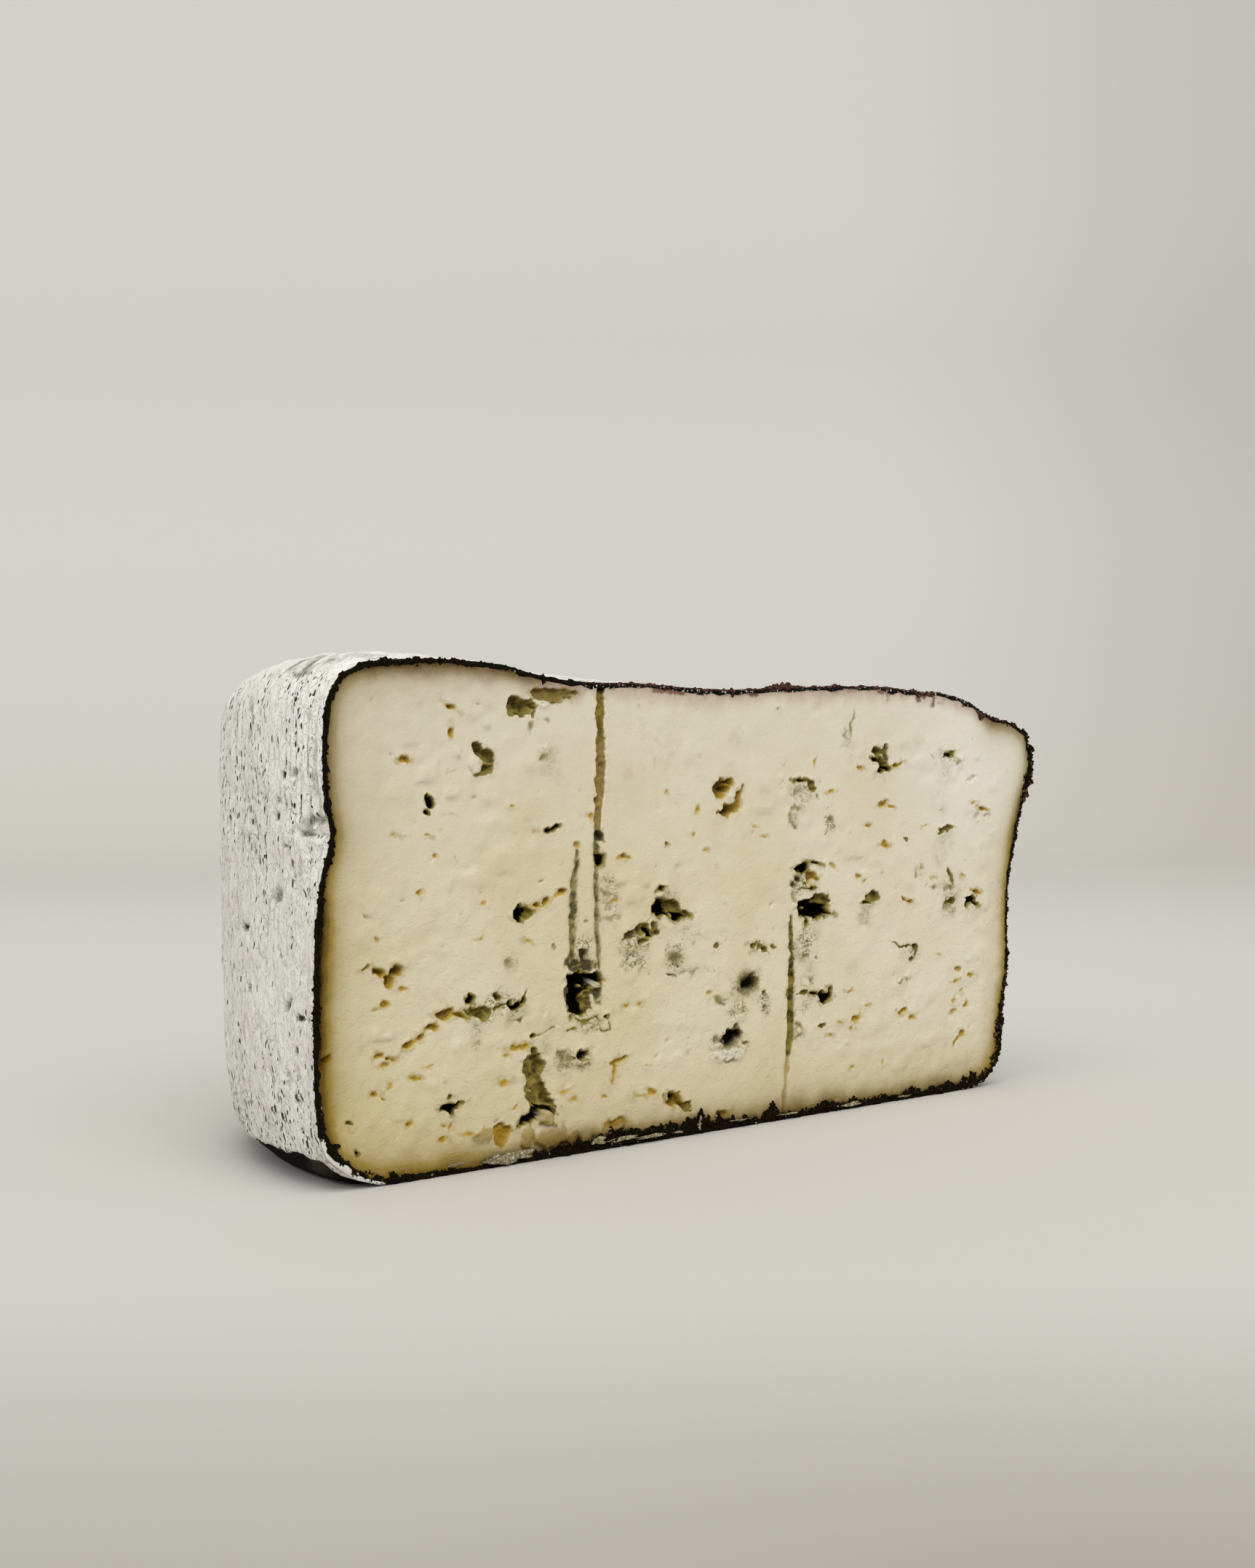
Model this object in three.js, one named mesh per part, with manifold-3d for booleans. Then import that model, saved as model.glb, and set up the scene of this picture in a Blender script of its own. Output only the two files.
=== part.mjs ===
// Half of a drum-shaped blue cheese, standing on its base with the cut face to the front.
// All sizes are in millimetres. X runs along the cut face, Y into the cheese and Z up.
// The wheel's axis is x = 0, y = 0 while the solid is made; the last lines move the origin
// to the middle of the base of the bounding box.

import * as THREE from 'three';
import { mergeVertices } from 'three/addons/utils/BufferGeometryUtils.js';
import Module from 'manifold-3d';

const wasm = await Module();
wasm.setup();

// ---- driving dimensions ----

// Outlines of half the wheel, from the middle of the base to the middle of the top. A point is
// [reach from the wheel's axis, height]. The cut shows the left and the right one, and the rind
// behind the left edge of the cut is fuller than the cut itself.
const LEFT_CUT = {
  base: [[0, 0], [94, 0], [102, 1.2], [109, 4.2], [114.6, 8.4]],
  side: [[114.6, 8.4], [117.4, 14], [118.4, 24], [118.4, 50], [117.2, 61], [114.9, 69.5],
    [116.2, 76], [116.8, 88], [115.6, 97], [112.6, 101.6]],
  top: [[112.6, 101.6], [107, 104], [99, 105.2], [85, 105.8], [71, 105.4], [60, 103.7],
    [48, 102.8], [30, 103.2], [12, 102.8], [0, 102.9]],
};
const LEFT_BEHIND = {
  base: [[0, 0], [96, 0], [105, 0.9], [110, 2.6], [113.6, 5]],
  side: [[113.6, 5], [116.6, 10], [118.2, 20], [118.4, 40], [118, 62], [117.7, 78],
    [117.4, 90], [116.4, 98], [113.4, 103.2]],
  top: [[113.4, 103.2], [109, 105.6], [103, 106.9], [92, 107.2], [75, 106.4], [56, 104.6],
    [40, 103.8], [20, 103.6], [0, 102.9]],
};
const RIGHT = {
  base: [[0, 0], [84, 0], [96, 0.5], [103.5, 2.6], [108, 6.4]],
  side: [[108, 6.4], [109.8, 12], [111, 22], [112.8, 32], [112.8, 44], [113.6, 56],
    [117, 67], [120.4, 77], [123.8, 86], [122.2, 95.6]],
  top: [[122.2, 95.6], [116, 98.2], [105, 99.8], [96, 103.2], [86, 105.1], [73, 105.4],
    [58, 106], [40, 105.4], [22, 104.4], [0, 102.9]],
};

const CUT_FADE = 9; // the left cut edge's own outline ends this far behind the cut face
const BACK_FLATTENING = 0.02; // how much less the wheel reaches to the back than to its sides
const AROUND_STEPS = 60; // flats round the half drum
const SIDE_STEPS = 18; // flats from the foot to the shoulder
const TOP_STEPS = 12; // rings from the shoulder to the wheel's axis

const RIND_SWELL = 0.7; // height of the soft swells and dents of the rind
const SWELL_FADES_IN = 14; // they are full this far behind the cut face
const SWELL_HEIGHTS = [1, 14]; // they start and are full this far above the base
const SWELL_UP_SHARE = 0.5; // how much of a swell also lifts the rind

// The swells are three waves: [share of the height, radians a mm along X, Y and Z, start].
const SWELL_WAVES = [
  [0.45, 0.11, 0, 0.064, 1.3],
  [0.35, 0, 0.137, -0.084, 0.4],
  [0.2, 0.204, 0.204, 0.164, 0],
];

const PIT_SINK = 0.35; // how far in front of the face a pit is widest, so its lip is sharp
const PIT_PULL = [0.78, 1.14]; // least and most that a pit's corners are pulled in and out
const EYE_HEIGHTS = [0.55, 1.3]; // least and most height of an eye for its width
const EYE_TURN = 60; // most that an eye is turned, in degrees
const EYE_DEPTH = 0.8; // depth of an eye for its width

// Needle channels, top to bottom: [x, z, width] along the middle line.
const NEEDLE_CHANNELS = [
  [[-42, 108, 2.8], [-41.6, 96, 2.8], [-41.8, 84, 2.7], [-42.4, 72, 2.3], [-42.8, 58, 1.6],
    [-42.5, 46, 1.6], [-42.6, 38, 1.2]],
  [[-49, 68, 1.2], [-49.6, 60, 1.7], [-50, 50, 1.7], [-50.5, 40, 1.6]],
  [[22.3, 50, 1.4], [22.9, 40, 2.3], [22.2, 28, 2.4], [21, 15, 1.9], [20, 1.5, 1.8]],
];

// Large hollows: [x, z, width, height, depth, turn in degrees].
const HOLLOWS = [
  [-47, 35, 7.6, 9.5, 9, 10], // the black hollow between the first two channels
  [-46.5, 42, 3.6, 4, 4, 0],
  [-61.5, 21, 5.5, 10, 5, -8], // the torn hollow above the base
  [-60, 11.5, 5.5, 8, 7, 20],
  [-58.5, 6.5, 4.5, 4, 3.5, 0],
  [-70, 6, 5.5, 6, 3, 0],
  [-65.3, 96.4, 4.4, 2.6, 3.2, 15], // the slit under the top rind
  [-56.5, 99.4, 7, 2.2, 3, 8],
  [-77, 87.5, 4, 2.6, 3, -45],
  [-75, 84.8, 3.4, 3, 3, -30],
  [-66, 53, 3.4, 2.6, 4, 0],
  [-21, 52.8, 8.2, 3.6, 6.5, -10],
  [-22.3, 56, 3.2, 4, 4.5, 0],
  [-28, 47.6, 7, 4.4, 3, 12],
  [-1.4, 80, 6, 3.8, 4.2, 18],
  [1.2, 74.4, 5.4, 3.6, 3.2, 12],
  [4, 77.6, 2.4, 4.4, 2.6, -20],
  [26.8, 60.6, 4.6, 2.6, 3.4, 0],
  [30, 50.2, 9.6, 4.6, 7, 4],
  [32.4, 53.6, 5.4, 4, 3.4, -20],
  [27.5, 81.4, 7, 2.2, 2.4, 0],
  [35, 28.5, 4.4, 3, 3, 12],
  [58, 88, 4.2, 6.8, 3.6, 20],
  [63.6, 86.6, 4.6, 1.8, 2, 12],
  [86, 89.2, 3.4, 2.4, 3, 0],
  [-19, 9.2, 4.8, 2.8, 3.4, -12],
  [-14, 7.2, 5, 2.6, 1.8, -25],
  [-48, 21, 3.4, 2.6, 3.2, 0],
  [-85, 13.6, 3.6, 2.6, 3.2, 0],
  [7, 33.5, 7.8, 5.6, 2.4, 0], // the two soft hollows of grey mould
  [1, 21, 7.6, 4.2, 3, 12],
  [-17.5, 41, 5.8, 3.2, 1.8, 0],
  [53.5, 51.5, 4.8, 2.6, 2.4, 0],
  [96, 50.5, 4.6, 2.2, 2.4, 0],
  [71, 38, 3.2, 3, 2.2, 0],
  [-104, 42.6, 6.4, 2.6, 2.8, -25],
  [-99, 41.4, 5.6, 2.4, 2.8, 30],
  [-87, 33, 5, 2.2, 2, 10],
  [-76, 32.5, 5, 2.6, 2.2, 0],
  [-65, 24.5, 5.4, 1.4, 1.6, 0],
];

// Small eyes: [x, z, width]. Each is a little higher than wide or the other way round, by its seed.
const EYES = [
  [-85, 96, 2.4], [-84.5, 91.5, 2], [-96.5, 84.7, 2.6], [-90.3, 75.4, 3], [-84.5, 73.8, 2],
  [-67, 75, 2], [-56, 70.5, 3], [-88, 65.5, 2], [-98.5, 60.5, 2.4], [-75.5, 56, 2],
  [-101.5, 25.6, 3], [-94.5, 28, 2.4], [-72.5, 36, 2.4], [-103.5, 18, 2.2], [-94, 21, 2],
  [-86, 8.8, 2.4], [-108.2, 7.4, 2.4], [-34.5, 64.3, 2.4], [-12, 68.6, 2], [-20.5, 78.7, 2],
  [-34, 31, 2.2], [-36, 17.5, 2.6], [-26.5, 17, 2], [24, 57, 2.2], [36.5, 75, 2.2],
  [38.5, 60.7, 2], [47.8, 22.7, 2.2], [66, 23, 2], [58.5, 76.2, 2], [67.8, 67.2, 2],
  [85.5, 69.5, 3.2], [87, 56, 2.6], [95.5, 83, 2.4], [92, 31.5, 2.4], [89, 23, 2.6],
  [91.5, 14.5, 2.4], [44.5, 29.3, 2], [101.5, 75, 2],
];

// Creases left by the wire: lines of [x, z, width].
const CREASES = [
  [[-32, 101, 0.6], [-28, 94, 1.2], [-25, 86, 1.2], [-22.5, 75, 0.9], [-20.5, 67, 0.5]],
  [[-27, 91, 0.6], [-23, 89.6, 1.1], [-18.5, 87, 0.5]],
  [[-63, 54, 0.8], [-58.5, 55.4, 1.6], [-53.5, 57.5, 0.7]],
  [[-94, 30.6, 0.8], [-80, 32, 1.6], [-71, 33, 1.6], [-63, 36.5, 0.8]],
  [[61, 41, 0.6], [66, 40, 1.1], [70, 39, 0.7]],
  [[-35, 40, 0.7], [-30, 41.4, 1.2], [-25, 43, 0.6]],
];

// Crumbs of crust fused on the rim: [x, height, width, thickness].
const RIM_CRUMBS = [
  [19, 104.9, 5, 2.2], [40, 105.6, 3, 1.8], [1, 103.6, 2, 2], [-86, 106.2, 3.4, 1.6],
  [-60, 104, 3, 2], [76, 105.3, 4, 1.8], [101, 101.4, 3.4, 1.8], [118, 97.4, 3, 1.8],
];
const CRUMB = { behind: 0.8, sunk: 0.3, deep: 0.75 }; // shares of a crumb's thickness
const STEM = { x: -58.5, behind: 3, foot: 104, height: 4.2, width: 1 }; // stuck in the top rind

// ---- numbers that repeat the same way on every run ----

function seeded(seed) {
  let state = seed >>> 0;
  return () => {
    state = (state + 0x6d2b79f5) >>> 0;
    let t = Math.imul(state ^ (state >>> 15), state | 1);
    t ^= t + Math.imul(t ^ (t >>> 7), t | 61);
    return ((t ^ (t >>> 14)) >>> 0) / 4294967296;
  };
}

const mix = (a, b, share) => a + (b - a) * share;

// ---- from three.js geometry to solids and back ----

function solidFrom(positions, triangles) {
  return new wasm.Manifold(new wasm.Mesh({
    numProp: 3,
    vertProperties: Float32Array.from(positions),
    triVerts: Uint32Array.from(triangles),
  }));
}

function solidOf(geometry) {
  geometry.deleteAttribute('normal');
  geometry.deleteAttribute('uv');
  const merged = mergeVertices(geometry);
  return solidFrom(merged.attributes.position.array, merged.index.array);
}

function geometryOf(solid) {
  const { vertProperties, triVerts } = solid.getMesh();
  const geometry = new THREE.BufferGeometry();
  geometry.setAttribute('position', new THREE.BufferAttribute(vertProperties, 3));
  geometry.setIndex(new THREE.BufferAttribute(triVerts, 1));
  geometry.computeVertexNormals();
  return geometry;
}

// ---- the half drum ----

function smoothRun(points, steps) {
  const through = points.map(([reach, height]) => new THREE.Vector3(reach, height, 0));
  const curve = new THREE.CatmullRomCurve3(through, false, 'centripetal');
  return curve.getSpacedPoints(steps).map((p) => [p.x, p.y]);
}

function halfOutline({ base, side, top }) {
  return [...base, ...smoothRun(side, SIDE_STEPS).slice(1), ...smoothRun(top, TOP_STEPS).slice(1)];
}

// Low swells and dents, as a value of about -1 to 1 at a place on the rind.
function swell(x, y, z) {
  return SWELL_WAVES.reduce((sum, [share, alongX, alongY, alongZ, start]) => (
    sum + share * Math.sin(alongX * x + alongY * y + alongZ * z + start)
  ), 0);
}

function halfDrum() {
  const cut = halfOutline(LEFT_CUT);
  const behind = halfOutline(LEFT_BEHIND);
  const right = halfOutline(RIGHT);
  const last = cut.length - 1;
  const positions = [];
  const triangles = [];
  const addPoint = (x, y, z) => positions.push(x, y, z) / 3 - 1;
  const baseCentre = addPoint(0, 0, 0);
  const topCentre = addPoint(0, 0, cut[last][1]);

  const rings = [];
  for (let i = 0; i <= AROUND_STEPS; i += 1) {
    const angle = Math.PI * i / AROUND_STEPS;
    const share = (1 - Math.cos(angle)) / 2;
    const ring = [baseCentre];
    for (let j = 1; j < last; j += 1) {
      const inside = THREE.MathUtils.smoothstep(cut[j][0] * Math.sin(angle), 0, CUT_FADE);
      const left = [0, 1].map((k) => mix(cut[j][k], behind[j][k], inside));
      const height = mix(left[1], right[j][1], share);
      const reach = mix(left[0], right[j][0], share) * (1 - BACK_FLATTENING * Math.sin(angle));
      const x = -reach * Math.cos(angle);
      const y = i % AROUND_STEPS === 0 ? 0 : reach * Math.sin(angle);
      const fade = THREE.MathUtils.smoothstep(y, 0, SWELL_FADES_IN)
        * THREE.MathUtils.smoothstep(height, ...SWELL_HEIGHTS);
      const push = RIND_SWELL * fade * swell(x, y, height);
      const out = 1 + push / reach;
      ring.push(addPoint(x * out, y * out, height + push * SWELL_UP_SHARE));
    }
    ring.push(topCentre);
    rings.push(ring);
  }

  for (let i = 0; i < AROUND_STEPS; i += 1) {
    for (let j = 0; j < last; j += 1) {
      const [a, b] = [rings[i][j], rings[i][j + 1]];
      const [d, c] = [rings[i + 1][j], rings[i + 1][j + 1]];
      if (b !== c) triangles.push(a, b, c);
      if (a !== d) triangles.push(a, c, d);
    }
  }

  const contour = [...rings[AROUND_STEPS], ...rings[0].slice(1, last).reverse()];
  const flat = contour.map((k) => new THREE.Vector2(positions[3 * k], positions[3 * k + 2]));
  for (const face of THREE.ShapeUtils.triangulateShape(flat, [])) {
    triangles.push(...face.map((k) => contour[k]));
  }
  return solidFrom(positions, triangles);
}

// ---- what is cut from the face ----

// A rough pit or crumb: a ball of few faces, stretched, with its corners pulled in and out.
function roughBall([x, y, z], [width, depth, height], turn, detail, seed) {
  const draw = seeded(seed);
  const geometry = new THREE.IcosahedronGeometry(1, detail);
  geometry.deleteAttribute('normal');
  geometry.deleteAttribute('uv');
  const ball = mergeVertices(geometry);
  const corners = ball.attributes.position;
  for (let k = 0; k < corners.count; k += 1) {
    const pull = mix(...PIT_PULL, draw());
    corners.setXYZ(k, corners.getX(k) * pull, corners.getY(k) * pull, corners.getZ(k) * pull);
  }
  ball.scale(width / 2, depth, height / 2);
  ball.rotateY(-THREE.MathUtils.degToRad(turn));
  ball.translate(x, y, z);
  return solidFrom(corners.array, ball.index.array);
}

// A furrow along a line of [x, z, width] on the face, pointed at both ends.
function furrow(line, depthShare, sides) {
  const positions = [];
  const triangles = [];
  const point = (x, y, z) => positions.push(x, y, z) / 3 - 1;
  const rings = line.map(([x, z, width], i) => {
    const before = line[Math.max(i - 1, 0)];
    const after = line[Math.min(i + 1, line.length - 1)];
    const run = Math.hypot(after[0] - before[0], after[1] - before[1]);
    const across = [(after[1] - before[1]) / run, -(after[0] - before[0]) / run];
    const ring = [];
    for (let s = 0; s < sides; s += 1) {
      const angle = 2 * Math.PI * (s + 0.5) / sides;
      const out = Math.cos(angle) * width / 2;
      ring.push(point(x + across[0] * out, Math.sin(angle) * width * depthShare,
        z + across[1] * out));
    }
    return ring;
  });
  const tipOf = (end, next) => {
    const run = Math.hypot(end[0] - next[0], end[1] - next[1]);
    const share = Math.min(end[2], run) / run;
    return point(end[0] + (end[0] - next[0]) * share, 0, end[1] + (end[1] - next[1]) * share);
  };
  const first = tipOf(line[0], line[1]);
  const final = tipOf(line[line.length - 1], line[line.length - 2]);
  for (let s = 0; s < sides; s += 1) {
    const n = (s + 1) % sides;
    triangles.push(first, rings[0][n], rings[0][s]);
    triangles.push(final, rings[rings.length - 1][s], rings[rings.length - 1][n]);
    for (let i = 0; i + 1 < rings.length; i += 1) {
      triangles.push(rings[i][s], rings[i][n], rings[i + 1][n]);
      triangles.push(rings[i][s], rings[i + 1][n], rings[i + 1][s]);
    }
  }
  return solidFrom(positions, triangles);
}

function cutters() {
  const made = [];
  NEEDLE_CHANNELS.forEach((line) => made.push(furrow(line, 0.5, 6)));
  CREASES.forEach((line) => made.push(furrow(line, 0.7, 4)));
  HOLLOWS.forEach(([x, z, width, height, depth, turn], i) => {
    made.push(roughBall([x, -PIT_SINK, z], [width, depth, height], turn, 1, 100 + i));
  });
  EYES.forEach(([x, z, width], i) => {
    const draw = seeded(500 + i);
    const height = width * mix(...EYE_HEIGHTS, draw());
    const turn = mix(-EYE_TURN, EYE_TURN, draw());
    made.push(roughBall([x, -PIT_SINK, z], [width, width * EYE_DEPTH, height], turn, 0, 900 + i));
  });
  return made;
}

function crumbs() {
  const made = RIM_CRUMBS.map(([x, height, width, thickness], i) => {
    const middle = [x, thickness * CRUMB.behind, height - thickness * CRUMB.sunk];
    return roughBall(middle, [width, thickness * CRUMB.deep, thickness], 0, 1, 300 + i);
  });
  const stem = new THREE.CylinderGeometry(STEM.width / 3, STEM.width / 2, STEM.height, 6);
  stem.rotateX(Math.PI / 2);
  stem.translate(STEM.x, STEM.behind, STEM.foot + STEM.height / 2);
  made.push(solidOf(stem));
  return made;
}

// ---- the one solid ----

let body = halfDrum();
for (const crumb of crumbs()) body = body.add(crumb);
for (const cutter of cutters()) body = body.subtract(cutter);
// Scraps that the cuts leave loose are dropped: the largest piece is the cheese.
[body] = body.decompose().sort((one, other) => other.volume() - one.volume());

const geometry = geometryOf(body);
geometry.computeBoundingBox();
const { min, max } = geometry.boundingBox;

const cheese = new THREE.Mesh(geometry, new THREE.MeshStandardMaterial({
  color: new THREE.Color(0.82, 0.77, 0.66),
  roughness: 0.65,
  metalness: 0,
}));
cheese.name = 'cheese';
cheese.position.set(-(min.x + max.x) / 2, -(min.y + max.y) / 2, -min.z);

const part = new THREE.Group();
part.add(cheese);
export default part;
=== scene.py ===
import math

import bmesh
import bpy
import numpy as np
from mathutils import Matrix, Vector


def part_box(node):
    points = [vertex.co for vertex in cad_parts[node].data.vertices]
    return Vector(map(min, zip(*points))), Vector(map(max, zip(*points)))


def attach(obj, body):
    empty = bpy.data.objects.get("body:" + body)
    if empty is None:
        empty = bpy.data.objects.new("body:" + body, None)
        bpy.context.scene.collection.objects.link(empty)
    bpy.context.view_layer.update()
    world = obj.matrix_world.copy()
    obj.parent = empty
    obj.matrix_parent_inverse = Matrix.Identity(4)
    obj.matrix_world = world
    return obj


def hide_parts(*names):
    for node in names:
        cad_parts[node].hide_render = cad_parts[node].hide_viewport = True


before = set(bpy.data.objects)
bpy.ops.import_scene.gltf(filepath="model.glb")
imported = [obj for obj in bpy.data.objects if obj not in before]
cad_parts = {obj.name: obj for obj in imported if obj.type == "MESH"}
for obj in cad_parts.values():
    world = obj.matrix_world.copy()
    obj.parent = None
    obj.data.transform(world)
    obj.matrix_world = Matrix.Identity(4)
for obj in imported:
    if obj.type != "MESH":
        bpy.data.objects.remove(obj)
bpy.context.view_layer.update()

# Half a wheel of blue cheese: a body of paste inside a shell of white rind, with crumbly crust,
# crumbs and flakes of bloom along the cut edge. Shapes are worked out in millimetres in the
# wheel's own frame, X along the cut, Y into the cheese and Z up from the middle of the cut's foot,
# and moved into the row's frame, in metres, as each mesh is made.

MM = 0.001
LOW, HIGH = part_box("cheese")
RIGHT_REACH = 123.75  # from the wheel's axis to the furthest point on the right
AXIS_X = HIGH.x / MM - RIGHT_REACH
FACE_Y = LOW.y / MM

# ---- the wheel's outlines, as [reach from the axis, height] ----

LEFT_CUT = {
    "base": [(0, 0), (97, 0), (103, 0.3), (108, 1.8), (113.2, 4.9), (115.8, 7.2)],
    "side": [(115.8, 7.2), (117.3, 11), (118.2, 17), (118.7, 26), (118.4, 50), (117.2, 61),
             (114.9, 69.5), (116.2, 76), (116.8, 88), (115.6, 97), (112.6, 101.6)],
    "top": [(112.6, 101.6), (107, 104), (99, 105.2), (85, 105.8), (71, 105.4), (60, 103.7),
            (48, 102.8), (30, 103.2), (12, 102.8), (0, 102.9)],
}
LEFT_BEHIND = {
    "base": [(0, 0), (100, 0), (107.6, 0), (109.8, 1.2), (112.2, 4.3)],
    "side": [(112.2, 4.3), (114.4, 5.9), (115.5, 9.5), (117.3, 21), (118.4, 40), (118, 62), (117.7, 78),
             (117.4, 90), (116.4, 98), (113.4, 103.2)],
    "top": [(113.4, 103.2), (109, 105.6), (103, 106.9), (92, 107.2), (75, 106.4), (56, 104.6),
            (40, 103.8), (20, 103.6), (0, 102.9)],
}
RIGHT = {
    "base": [(0, 0), (84, 0), (96, 0.5), (103.5, 2.6), (108, 6.4)],
    "side": [(108, 6.4), (109.8, 12), (111, 22), (112.8, 32), (112.8, 44), (113.6, 56),
             (117, 67), (120.4, 77), (123.8, 86), (122.2, 95.6)],
    "top": [(122.2, 95.6), (116, 98.2), (105, 99.8), (96, 103.2), (86, 105.1), (73, 105.4),
            (58, 106), (40, 105.4), (22, 104.4), (0, 102.9)],
}
OUTLINES = (LEFT_CUT, LEFT_BEHIND, RIGHT)
CUT_FADE = 6  # how far behind the cut the left side takes the outline of the wheel behind it
BACK_FLATTENING = 0.02  # the share of its reach that the back lacks
RIND_SWELL = 0.7  # how far the wall and the lid swell in and out
SWELL_FADES_IN = 14  # how far behind the cut the swell is full
SWELL_HEIGHTS = (1, 14)  # where it starts above the floor, and where it is full
SWELL_UP_SHARE = 0.5
# A wave of the swell: its share, how fast it runs along x, y and z, and its start, in radians.
SWELL_WAVES = [
    (0.45, 0.11, 0, 0.064, 1.3),
    (0.35, 0, 0.137, -0.084, 0.4),
    (0.2, 0.204, 0.204, 0.164, 0),
]

RIND_THICKNESS = 1.5
PASTE_TUCK = 0.75  # how far the rim of the paste's face lies inside the rind's outline
PASTE_GAP = 0.15  # between the paste and the rind's inner wall, behind the face

# ---- what the knife laid open on the face ----
# Places on the face are (x, z) in millimetres. An oval is (x, z, width, height) and, where it is
# turned, its turn in degrees. A tear is how deep it goes and its lobes, which are ovals. Tears are
# listed by what lines them, in the order in which the linings go on.

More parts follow.
